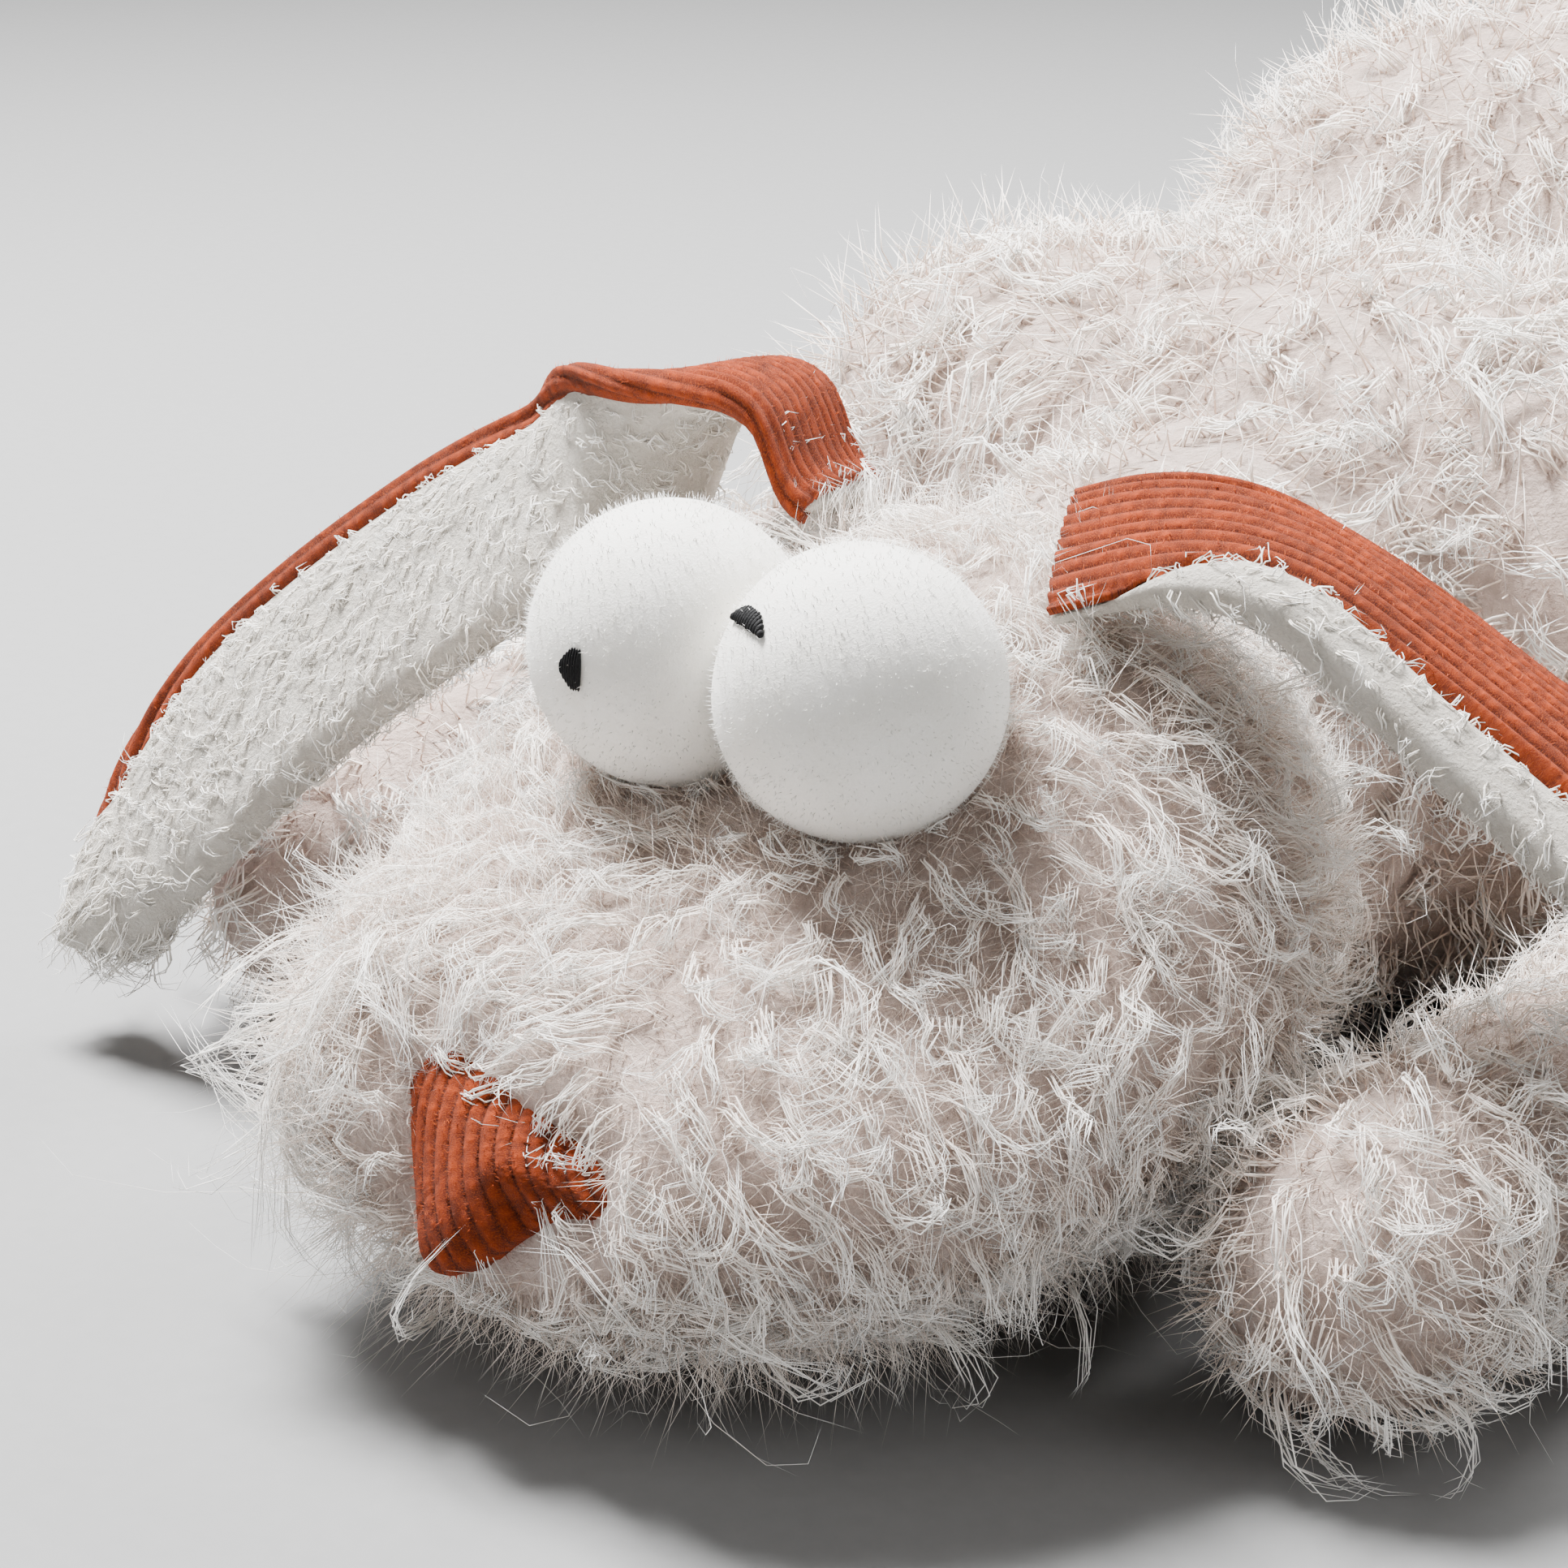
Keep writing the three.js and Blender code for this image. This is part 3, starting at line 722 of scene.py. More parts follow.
@dataclass
class StuffedForm:
    """A cover filled with stuffing: the solid's filling, remeshed and blown up as cloth."""

    name: str
    body: str
    voxel: float = 5.5
    swell: float = 1.8
    inset: float = 2.6
    fill: float = 0.7
    frames: int = 20
    bulge: tuple[Array, float, float] | None = None
    stand_off: float = 2
    search: float = 16

    def cover(self) -> bpy.types.Object:
        """Builds the swollen cover that the fur grows from.

        Returns:
            The cover.
        """
        filling = frame["nodes"][f"{self.name}_stuffing"]
        obj = bpy.data.objects.new(f"{self.name}_backing", filling.data.copy())
        bpy.context.scene.collection.objects.link(obj)
        take(obj)
        bpy.ops.object.mode_set(mode="EDIT")
        bpy.ops.mesh.select_all(action="SELECT")
        bpy.ops.mesh.remove_doubles(threshold=1e-5)
        bpy.ops.object.mode_set(mode="OBJECT")
        apply_modifier(obj, "REMESH", mode="VOXEL", voxel_size=self.voxel * MM)
        set_points(obj, self.fitted(obj))
        apply_modifier(obj, "SMOOTH", factor=0.5, iterations=3)
        if self.bulge:
            set_points(obj, self.filled_out(obj, *self.bulge))
        rest = points_of(obj)
        moved = self.simulated(obj)
        step = moved - rest
        size = np.linalg.norm(step, axis=1, keepdims=True)
        points = rest + step * np.minimum(1, self.swell / np.maximum(size, 1e-9))
        points[:, 2] = np.maximum(points[:, 2], FLOOR_CLEARANCE)
        set_points(obj, points)
        apply_modifier(obj, "SUBSURF", levels=1, render_levels=1)
        smooth_shaded(obj)
        return obj

    def fitted(self, obj: bpy.types.Object) -> Array:
        """Brings the filling's skin out to just under the sewn cover's outer face.

        Args:
            obj: the remeshed filling.

        Returns:
            The moved points; those that face an opening stay.
        """
        sewn = frame["nodes"][f"{self.name}_cover"]
        sewn.data.calc_loop_triangles()
        faces = [tuple(triangle.vertices) for triangle in sewn.data.loop_triangles]
        tree = BVHTree.FromPolygons(points_of(sewn).tolist(), faces)
        points = points_of(obj)
        for index, (point, out) in enumerate(zip(points, normals_of(obj))):
            start = Vector(point + self.stand_off * out)
            spot, _, _, far = tree.ray_cast(start, Vector(out), self.search)
            if spot is not None:
                points[index] = point + out * max(self.stand_off + far - self.inset, 0)
        return points

    def filled_out(self, obj: bpy.types.Object, centre: Array, reach: float, height: float) -> Array:
        """Pads the form round one place.

        Args:
            obj: the fitted cover.
            centre: the place.
            reach: how far the padding spreads.
            height: how far it stands out.

        Returns:
            The moved points.
        """
        points = points_of(obj)
        gap = distance(points, centre)
        return points + normals_of(obj) * (height * np.exp(-((gap / reach) ** 2)))[:, None]

    def simulated(self, obj: bpy.types.Object) -> Array:
        """Blows the cover up as cloth under pressure.

        Args:
            obj: the remeshed cover.

        Returns:
            Where its points settle.
        """
        scene = bpy.context.scene
        cloth = obj.modifiers.new("filling", "CLOTH")
        settings = cloth.settings
        settings.quality = 4
        settings.mass = 0.3
        settings.tension_stiffness = 15
        settings.compression_stiffness = 15
        settings.bending_stiffness = 0.5
        settings.use_pressure = True
        settings.uniform_pressure_force = 4
        settings.effector_weights.gravity = 0
        cloth.point_cache.frame_start = 1
        cloth.point_cache.frame_end = self.frames
        for number in range(1, self.frames + 1):
            scene.frame_set(number)
        shaped = obj.evaluated_get(bpy.context.evaluated_depsgraph_get())
        settled = points_of(shaped)
        obj.modifiers.remove(cloth)
        scene.frame_set(1)
        return settled


@dataclass
class Ground:
    """A surface that hair grows from, as arrays of triangles in millimetres."""

    THROWS = 3
    ROOM = 0.8

    obj: bpy.types.Object
    points: Array = field(init=False)
    normals: Array = field(init=False)
    corners: Array = field(init=False)
    areas: Array = field(init=False)
    tree: BVHTree = field(init=False)

    def __post_init__(self) -> None:
        """Reads the surface."""
        mesh = self.obj.data
        self.points = points_of(self.obj)
        self.normals = normals_of(self.obj)
        mesh.calc_loop_triangles()
        corners = np.empty(len(mesh.loop_triangles) * 3, np.int32)
        mesh.loop_triangles.foreach_get("vertices", corners)
        self.corners = corners.reshape(-1, 3)
        a, b, c = (self.points[self.corners[:, k]] for k in range(3))
        self.areas = np.linalg.norm(np.cross(b - a, c - a), axis=1) / 2
        self.tree = BVHTree.FromPolygons(self.points.tolist(), self.corners.tolist())

    def thrown(self, count: int, rng: np.random.Generator) -> tuple[Array, Array]:
        """Throws points on the surface, evenly by area.

        Args:
            count: how many.
            rng: the dice.

        Returns:
            Points and normals.
        """
        share = np.cumsum(self.areas) / self.areas.sum()
        chosen = self.corners[np.minimum(np.searchsorted(share, rng.random(count)), len(share) - 1)]
        u, v = rng.random((2, count, 1))
        over = u + v > 1
        u, v = np.where(over, 1 - u, u), np.where(over, 1 - v, v)
        weights = (1 - u - v, u, v)
        where = sum(w * self.points[chosen[:, k]] for k, w in enumerate(weights))
        facing = unit(sum(w * self.normals[chosen[:, k]] for k, w in enumerate(weights)))
        return where, facing

    def spaced(self, spacing: float, rng: np.random.Generator) -> tuple[Array, Array]:
        """Throws points that keep a distance from each other.

        Args:
            spacing: the distance.
            rng: the dice.

        Returns:
            Points and normals.
        """
        where, facing = self.thrown(int(self.THROWS * self.areas.sum() / spacing**2), rng)
        cells: dict[tuple[int, int, int], list[Array]] = {}
        kept = []
        least = (self.ROOM * spacing) ** 2
        for index, point in enumerate(where):
            home = tuple(np.floor(point / spacing).astype(int))
            near = (
                other
                for x in (-1, 0, 1) for y in (-1, 0, 1) for z in (-1, 0, 1)
                for other in cells.get((home[0] + x, home[1] + y, home[2] + z), ())
            )
            if all(np.dot(point - o, point - o) > least for o in near):
                cells.setdefault(home, []).append(point)
                kept.append(index)
        return where[kept], facing[kept]

    def held_between(self, paths: Array, low: float, high: Array) -> Array:
        """Keeps points above the surface and under a ceiling.

        Args:
            paths: points in any number of rows.
            low: least height.
            high: greatest height of each point.

        Returns:
            The moved points.
        """
        flat = paths.reshape(-1, 3).copy()
        for index, (point, ceiling) in enumerate(zip(flat, high)):
            spot, normal, _, _ = self.tree.find_nearest(point)
            out = np.array(normal)
            height = float(np.dot(point - np.array(spot), out))
            wanted = min(max(height, low), ceiling)
            flat[index] = point + out * (wanted - height)
        return flat.reshape(paths.shape)


@dataclass(frozen=True)
class Pile:
    """How one kind of hair grows: lengths and distances in millimetres, turns in degrees."""

    spacing: float
    hairs: int
    length: tuple[float, float]
    thickness: tuple[float, float]
    segments: int = 6
    lock_radius: float = 2.4
    pinch: float = 0.75
    bend: tuple[float, float] = (50, 110)
    swirl: float = 120
    curl_radius: tuple[float, float] = (0.5, 2.0)
    curl_turns: tuple[float, float] = (0.6, 1.5)
    frizz: float = 0.7
    height: tuple[float, float] = (1.2, 12.0)
    lean: float = 0.6


@dataclass(frozen=True)
class Fluff:
    """How the fine undercoat grows: hairs to the square millimetre, and sizes in millimetres."""

    density: float
    length: tuple[float, float]
    thickness: tuple[float, float]
    segments: int = 2
    lean: float = 0.5
    wander: float = 1.0


class Coat:
    """Hair on one ground: locks of curls and single stray hairs as closed tapered tubes."""

    STEPS = 16
    SWIRLS = (((1, 0.4, -0.7), 0.3), ((-0.5, 1, 0.6), 1.7), ((0.7, -0.6, 1), 4.1))
    SWIRL_SIZE = 14.0
    LOCK_DEPTH = 0.8
    FLUFF_DEPTH = 0.4

    def __init__(self, ground: Ground, seed: int) -> None:
        """Keeps the ground and its own dice."""
        self.ground = ground
        self.rng = np.random.default_rng(seed)

    def comb(self, roots: Array, normals: Array) -> Array:
        """Finds the way the hair lies: down the surface, with slow swirls.

        Args:
            roots: where the hair grows.
            normals: the surface there.

        Returns:
            Unit directions along the surface.
        """
        wave = [np.sin(roots @ np.array(way) / self.SWIRL_SIZE + phase) for way, phase in self.SWIRLS]
        wish = np.array([0, 0, -0.8]) + 0.9 * np.stack(wave, axis=1) + self.rng.normal(0, 0.35, roots.shape)
        return laid_flat(wish, normals)

    def off_floor(self, paths: Array) -> Array:
        """Keeps hairs above the floor, each at its own small height.

        Args:
            paths: hair paths, which are changed.

        Returns:
            The same paths.
        """
        least = FLOOR_CLEARANCE + 0.3 * self.rng.random((len(paths), 1))
        paths[..., 2] = np.maximum(paths[..., 2], least)
        return paths

    def guides(self, roots: Array, normals: Array, comb: Array, pile: Pile, scale: Array) -> Array:
        """Lays one path for each lock.

        Args:
            roots: where the locks grow.
            normals: the surface there.
            comb: the way they lie.
            pile: the kind of hair.
            scale: length factor of each lock.

        Returns:
            Paths of STEPS + 1 points.
        """
        rng, count = self.rng, len(roots)
        length = rng.uniform(*pile.length, count) * scale
        rise = normals * rng.uniform(0.5, 1.0, (count, 1))
        way = unit(rise + comb * pile.lean + rng.normal(0, 0.25, (count, 3)))
        over = unit(np.cross(way, comb) + 1e-6)
        bend = np.radians(rng.uniform(*pile.bend, count))
        swirl_axis = unit(normals * 0.8 + rng.normal(0, 0.6, (count, 3)))
        swirl = np.radians(rng.normal(0, pile.swirl, count))
        path = [roots - normals * self.LOCK_DEPTH]
        for step in range(self.STEPS):
            s = (step + 0.5) / self.STEPS
            way = turned(way, over, bend / self.STEPS * 1.8 * (1 - s))
            way = turned(way, swirl_axis, swirl / self.STEPS * 2 * s)
            path.append(path[-1] + way * (length / self.STEPS)[:, None])
        laid = np.stack(path, axis=1)
        ceiling = np.repeat(pile.height[1] * np.maximum(scale, 1), self.STEPS)
        laid[:, 1:] = self.ground.held_between(laid[:, 1:], pile.height[0], ceiling)
        return laid

    def hairs(self, guides: Array, normals: Array, pile: Pile) -> tuple[Array, Array]:
        """Grows the hairs of each lock round its path.

        Args:
            guides: one path for each lock.
            normals: the surface at each lock's root.
            pile: the kind of hair.

        Returns:
            Paths of segments + 1 points, and the lock of each.
        """
        rng = self.rng
        lock = np.repeat(np.arange(len(guides)), pile.hairs)
        count = len(lock)
        s = np.linspace(0, 1, pile.segments + 1)[None, :]
        place = s * rng.uniform(0.62, 1.0, (count, 1)) * self.STEPS
        low = np.minimum(place.astype(int), self.STEPS - 1)
        part = (place - low)[..., None]
        mine = guides[lock]
        rows = np.arange(count)[:, None]
        before, after = mine[rows, low], mine[rows, low + 1]
        path = before * (1 - part) + after * part
        tangent = unit(after - before)
        out = np.broadcast_to(normals[lock][:, None, :], path.shape)
        first = unit(np.cross(tangent, out) + 1e-6)
        second = np.cross(tangent, first)
        angle = rng.uniform(0, 2 * np.pi, (count, 1))
        reach = pile.lock_radius * np.sqrt(rng.random((count, 1)))
        axis = unit(np.cross(normals, np.array([0.31, 0.52, 0.8])))[lock]
        other = np.cross(normals[lock], axis)
        spread = reach * (1 - pile.pinch * smooth(s, 0.0, 0.7))
        path = path + (axis * np.cos(angle) + other * np.sin(angle))[:, None, :] * spread[..., None]
        radius = rng.uniform(*pile.curl_radius, len(guides))[lock][:, None] * smooth(s, 0.08, 0.55)
        turns = (rng.uniform(*pile.curl_turns, len(guides)) * rng.choice([-1, 1], len(guides)))[lock][:, None]
        phase = rng.uniform(0, 2 * np.pi, len(guides))[lock][:, None] + rng.normal(0, 0.45, (count, 1))
        swing = phase + 2 * np.pi * turns * s
        curl = first * np.cos(swing)[..., None] + second * np.sin(swing)[..., None]
        path = path + curl * radius[..., None]
        shake = rng.normal(0, pile.frizz, (count, 2, 3))
        pace = rng.uniform(0.5, 1.6, (count, 2, 1))
        beat = pace * s[:, None, :] * 2 * np.pi + rng.uniform(0, 6.28, (count, 2, 1))
        path = path + np.einsum("nkc,nks->nsc", shake, np.sin(beat) * s[:, None, :])
        return self.off_floor(path), lock

    def fluff(self, roots: Array, normals: Array, comb: Array, fluff: Fluff, scale: Array) -> Array:
        """Grows fine bowed hairs one by one.

        Args:
            roots: where they grow.
            normals: the surface there.
            comb: the way they lean.
            fluff: the kind of hair.
            scale: length factor of each.

        Returns:
            Paths of segments + 1 points.
        """
        rng, count = self.rng, len(roots)
        length = (rng.uniform(*fluff.length, count) * scale)[:, None, None]
        way = unit(normals + comb * fluff.lean + rng.normal(0, fluff.wander, roots.shape))
        bow = unit(np.cross(way, rng.normal(0, 1, roots.shape)) + 1e-6) * rng.uniform(0.1, 0.45, (count, 1))
        s = np.linspace(0, 1, fluff.segments + 1)[None, :, None]
        path = way[:, None] * s + bow[:, None] * (s * s) + np.roll(bow, 1, axis=1)[:, None] * 0.5 * s**3
        return self.off_floor((roots - normals * self.FLUFF_DEPTH)[:, None] + path * length)

    def tubes(self, name: str, paths: Array, thickness: tuple[float, float]) -> bpy.types.Object:
        """Wraps each path in a closed three-sided tube that tapers to its tip.

        Args:
            name: the piece's name.
            paths: points of each hair.
            thickness: least and most of a hair's width at its root.

        Returns:
            The piece, with its map along each hair.
        """
        rng = self.rng
        count, rings = paths.shape[0], paths.shape[1] - 1
        tangent = np.empty_like(paths)
        tangent[:, 1:-1] = paths[:, 2:] - paths[:, :-2]
        tangent[:, 0] = paths[:, 1] - paths[:, 0]
        tangent[:, -1] = paths[:, -1] - paths[:, -2]
        tangent = unit(tangent)
        aside = unit(rng.normal(0, 1, (count, 1, 3)))
        first = unit(np.cross(tangent, aside) + 1e-6)
        second = np.cross(tangent, first)
        s = np.linspace(0, 1, rings + 1)[:-1]
        thick = rng.uniform(*thickness, (count, 1)) / 2 * (1 - 0.62 * smooth(s, 0.3, 1.05))[None, :]
        corners = []
        for k in range(3):
            turn = 2 * np.pi * k / 3
            side = first[:, :-1] * math.cos(turn) + second[:, :-1] * math.sin(turn)
            corners.append(paths[:, :-1] + side * thick[..., None])
        ring = np.stack(corners, axis=2).reshape(count, rings * 3, 3)
        points = np.concatenate([ring, paths[:, -1:]], axis=1)
        each = rings * 3 + 1
        quads = []
        for j in range(rings - 1):
            for k in range(3):
                a, b = j * 3 + k, j * 3 + (k + 1) % 3
                quads.append((a, b, b + 3, a + 3))
        last = (rings - 1) * 3
        tris = [(last + k, last + (k + 1) % 3, rings * 3) for k in range(3)] + [(0, 2, 1)]
        one = np.concatenate([np.array(quads, int).ravel(), np.array(tris, int).ravel()])
        begins = np.concatenate([np.arange(len(quads)) * 4, len(quads) * 4 + np.arange(4) * 3])
        loops = (np.arange(count)[:, None] * each + one[None, :]).ravel()
        starts = (np.arange(count)[:, None] * len(one) + begins[None, :]).ravel()
        along = np.concatenate([np.repeat(np.arange(rings) / rings, 3), [1.0]])
        uv = np.empty((count, each, 2))
        uv[..., 0] = rng.uniform(0.02, 0.98, (count, 1))
        uv[..., 1] = 0.02 + 0.96 * along[None, :]
        return raw_mesh(name, points.reshape(-1, 3), loops, starts, uv.reshape(-1, 2))


@dataclass(frozen=True)
class Nap:
    """Short straight hair of a cloth: how many, how far they stray, and sizes in millimetres."""

    count: int
    stray: float
    length: tuple[float, float]
    thickness: tuple[float, float]
    depth: float = 0.15

    def grown(self, name: str, cloth: bpy.types.Object, seed: int,
              shorter: Callable[[Array], Array] | None = None) -> bpy.types.Object:
        """Grows the hairs all over a cloth.

        Args:
            name: the nap's name.
            cloth: the cloth.
            seed: of the dice.
            shorter: gives each root its length factor, or None.

        Returns:
            The nap.
        """
        coat = Coat(Ground(cloth), seed)
        roots, normals = coat.ground.thrown(self.count, coat.rng)
        lean = unit(normals + coat.rng.normal(0, self.stray, roots.shape))
        reach = coat.rng.uniform(*self.length, (self.count, 1))
        if shorter:
            reach *= shorter(roots)
        paths = np.stack([roots - normals * self.depth, roots + lean * reach], axis=1)
        return coat.tubes(name, paths, self.thickness)


@dataclass
class FurryForm:
    """A stuffed form with its coat: undercoat, locks and stray hairs."""

    FLOOR_FACING = -0.55
    FLOOR_REACH = 9

    form: StuffedForm
    seed: int
    locks: Pile
    strays: Pile
    undercoat: Fluff
    parts: tuple[str, ...] = ("",)

    def bare(self, roots: Array, normals: Array) -> Array:
        """Tells which roots lie where no hair can grow, such as flat on the floor."""
        return (normals[:, 2] < self.FLOOR_FACING) & (roots[:, 2] < self.FLOOR_REACH)

    def shorter(self, roots: Array) -> Array:
        """Gives each root its length factor."""
        return np.ones(len(roots))

    def combed(self, roots: Array, normals: Array, comb: Array) -> Array:
        """Changes the way the hair lies, where a form needs it."""
        return comb

    def cleared(self, paths: Array) -> Array:
        """Moves hairs off what stands in the fur."""
        return paths

    def rooted(self, coat: Coat, roots: Array, normals: Array) -> tuple[Array, Array, Array]:
        """Leaves out the roots of bare places and combs the rest.

        Args:
            coat: the coat on its ground.
            roots: where hair might grow.
            normals: the surface there.

        Returns:
            Roots, normals and the way the hair lies.
        """
        kept = ~self.bare(roots, normals)
        roots, normals = roots[kept], normals[kept]
        return roots, normals, self.combed(roots, normals, coat.comb(roots, normals))

    def grown(self, coat: Coat, pile: Pile) -> tuple[Array, Array]:
        """Grows one kind of hair.

        Args:
            coat: the coat on its ground.
            pile: the kind of hair.

        Returns:
            Hair paths and each hair's root.
        """
        roots, normals, comb = self.rooted(coat, *coat.ground.spaced(pile.spacing, coat.rng))
        guides = coat.guides(roots, normals, comb, pile, self.shorter(roots))
        paths, lock = coat.hairs(guides, normals, pile)
        return self.trimmed(paths, roots[lock])

    def fluffed(self, coat: Coat) -> tuple[Array, Array]:
        """Grows the undercoat.

        Args:
            coat: the coat on its ground.

        Returns:
            Hair paths and each hair's root.
        """
        count = int(self.undercoat.density * coat.ground.areas.sum())
        roots, normals, comb = self.rooted(coat, *coat.ground.thrown(count, coat.rng))
        return self.trimmed(coat.fluff(roots, normals, comb, self.undercoat, self.shorter(roots)), roots)

    def trimmed(self, paths: Array, roots: Array) -> tuple[Array, Array]:
        """Clears the hairs, lays them over the ear roots and leaves out those that pierce an ear.

        Args:
            paths: hair paths.
            roots: each hair's root.

        Returns:
            The paths that stay, and their roots.
        """
        paths = self.cleared(paths)
        for ear in EARS:
            paths = ear.lifted(paths)
        free = ~np.any([ear.holds(paths).any(axis=1) for ear in EARS], axis=0)
        return paths[free], roots[free]

    def build(self, wardrobe: Wardrobe) -> None:
        """Builds the backing and the coat, split into the named parts round the form.

        Args:
            wardrobe: the materials.
        """
        name, body = self.form.name, self.form.body
        cover = self.form.cover()
        coat = Coat(Ground(cover), self.seed)
        dress(cover, wardrobe.backing, "long_fur", body, f"{name}_cover", f"{name}_stuffing")
        under, under_root = self.fluffed(coat)
        long, long_root = self.grown(coat, self.locks)
        stray, _ = self.grown(coat, self.strays)
        self.split(coat, "undercoat", under, under_root, self.undercoat.thickness, wardrobe.undercoat)
        self.split(coat, "fur", long, long_root, self.locks.thickness, wardrobe.locks)
        piece = coat.tubes(f"{name}_stray_hairs", stray, self.strays.thickness)
        dress(piece, wardrobe.locks, "long_fur", body)

    def split(self, coat: Coat, word: str, paths: Array, roots: Array, thickness: tuple[float, float],
              material: bpy.types.Material) -> None:
        """Makes one piece for each named part, cut by direction round the form's middle.

        Args:
            coat: the coat.
            word: what the hair is called.
            paths: hair paths.
            roots: each hair's root.
            thickness: least and most of a hair's width at its root.
            material: its finish.
        """
        middle = coat.ground.points.mean(axis=0)
        angle = np.arctan2(roots[:, 0] - middle[0], middle[1] - roots[:, 1])
        angle = np.mod(angle + np.pi, 2 * np.pi)
        edges = np.quantile(angle, np.linspace(0, 1, len(self.parts) + 1))
        edges[-1] += 1
        for index, part in enumerate(self.parts):
            chosen = (angle >= edges[index]) & (angle < edges[index + 1])
            label = f"{self.form.name}_{part}_{word}" if part else f"{self.form.name}_{word}"
            dress(coat.tubes(label, paths[chosen], thickness), material, "long_fur", self.form.body)


class HeadForm(FurryForm):
    """The head, whose fur makes way for the eyes, the nose and the ear roots."""

    NECK_SEAT = 36
    NOSE_BED_LEFT = 23
    NOSE_BED_RIGHT = 17
    NOSE_BED_FOOT = -14
    NOSE_BED_TOP = 6
    NOSE_BED_DEPTH = 24
    EAR_REACH = 18
    EYE_GAP = 0.5

    def bare(self, roots: Array, normals: Array) -> Array:
        """Leaves out the floor, the neck, the eye seats and the nose bed.

        Args:
            roots: where hair may grow.
            normals: the surface there.

        Returns:
            True for each root left out.
        """
        hidden = super().bare(roots, normals)
        hidden |= (distance(roots, NECK_CENTRE) < self.NECK_SEAT) & (normals[:, 1] > 0.7)
        for centre in map(eye_centre, Side):
            hidden |= distance(roots, centre) < EYE_RADIUS - 1.0
        across, up = nose_place(roots)
        widest = np.where(across > 0, self.NOSE_BED_LEFT, self.NOSE_BED_RIGHT)
        half = widest * np.clip((up - self.NOSE_BED_FOOT) / 18, 0, 1)
        beside = (np.abs(across) < half) & (up > self.NOSE_BED_FOOT) & (up < self.NOSE_BED_TOP)
        return hidden | beside & (roots[:, 1] < NOSE_ORIGIN[1] + self.NOSE_BED_DEPTH)

    def shorter(self, roots: Array) -> Array:
        """Shortens the hair near the nose, the eyes and the neck, and lets the chin's hang.

        Args:
            roots: where hair grows.

        Returns:
            The length factor of each.
        """
        scale = 0.6 + 0.4 * smooth(distance(roots, NOSE_ORIGIN), 14, 26)
        scale = scale * (1 + 0.6 * smooth(32 - roots[:, 2], 0, 20))
        scale *= 1 + 0.6 * smooth(-roots[:, 0], 4, 26) * smooth(EYE_ROW - 15 - roots[:, 1], 0, 20)
        scale *= 0.9 + 0.1 * smooth(distance(roots, NECK_CENTRE), 44, 66)
        for centre in map(eye_centre, Side):
            scale *= 0.75 + 0.25 * smooth(distance(roots, centre), EYE_RADIUS, EYE_RADIUS + 9)
        return scale

    def combed(self, roots: Array, normals: Array, comb: Array) -> Array:
        """Parts the hair at the nose, spreads the chin's over the floor and lays it along the ears.

        Args:
            roots: where hair may grow.
            normals: the surface there.
            comb: the way it lies elsewhere.

        Returns:
            The way it lies here.
        """
        near = np.exp(-np.maximum(distance(roots, NOSE_ORIGIN) - 12, 0) / 7)
        near = (near * (1 - smooth(nose_place(roots)[1], 2, 8)))[:, None]
        spread = unit((roots - np.array([0, EYE_ROW, 0])) * np.array([1, 1, 0]))
        wish = comb + 1.3 * near * unit(roots - NOSE_ORIGIN)
        wish = wish + 1.5 * smooth(34 - roots[:, 2], 0, 22)[:, None] * spread
        for centre in map(eye_centre, Side):
            gap = np.maximum(distance(roots, centre) - EYE_RADIUS, 0)
            wish = wish + 0.2 * np.exp(-gap / 6)[:, None] * unit(roots - centre)
        for ear in EARS:
            near_ear = np.exp(-((distance(roots, ear.root) / self.EAR_REACH) ** 2))
            wish = wish + 1.8 * near_ear[:, None] * ear.frames(np.zeros(1))[3]
        return laid_flat(wish, normals)

    def cleared(self, paths: Array) -> Array:
        """Pushes hairs out of the ball eyes.

        Args:
            paths: hair paths.

        Returns:
            The moved paths.
        """
        least = EYE_RADIUS + self.EYE_GAP
        for centre in map(eye_centre, Side):
            rel = paths - centre
            far = np.linalg.norm(rel, axis=-1, keepdims=True)
            paths = np.where(far < least, centre + rel / far * least, paths)
        return paths


class BodyForm(FurryForm):
    """The body, bare only in the seats of the neck and the limbs."""

    ARM_SEAT = 25
    LEG_SEAT = 28
    NECK_DEPTH = 10

    def bare(self, roots: Array, normals: Array) -> Array:
        """Leaves out the floor and the seats.

        Args:
            roots: where hair may grow.
            normals: the surface there.

        Returns:
            True for each root left out.
        """
        hidden = super().bare(roots, normals) | (roots[:, 1] < HEAD_END - self.NECK_DEPTH)
        for side in Side:
            hidden |= distance(roots, JOINTS[f"{side.word}_arm_swing"]) < self.ARM_SEAT
            hidden |= distance(roots, JOINTS[f"{side.word}_leg_swing"]) < self.LEG_SEAT
        return hidden

    def shorter(self, roots: Array) -> Array:
        """Shortens the hair at the neck and lets it stand fuller on the right shoulder."""
        neck = 0.65 + 0.35 * smooth(roots[:, 1], HEAD_END - 4, HEAD_END + 26)
        return neck * (1 + 0.4 * np.exp(-((distance(roots, SHOULDER) / 34) ** 2)))


@dataclass
class LimbForm(FurryForm):
    """An arm or a leg, bare where its root sits in the body."""

    SEAT_DEPTH = 13

    joint: str = ""
    way: tuple[float, float, float] = (0, -1, 0)

    def bare(self, roots: Array, normals: Array) -> Array:
        """Leaves out the floor and the depth of the root's seat."""
        return super().bare(roots, normals) | (self.along(roots) < -self.SEAT_DEPTH)

    def along(self, roots: Array) -> Array:
        """Measures roots along the limb, from the middle of its seat."""
        return (roots - JOINTS[self.joint]) @ np.array(self.way)

    def shorter(self, roots: Array) -> Array:
        """Shortens the hair at the seat."""
        return 0.6 + 0.4 * smooth(self.along(roots), -6, 14)


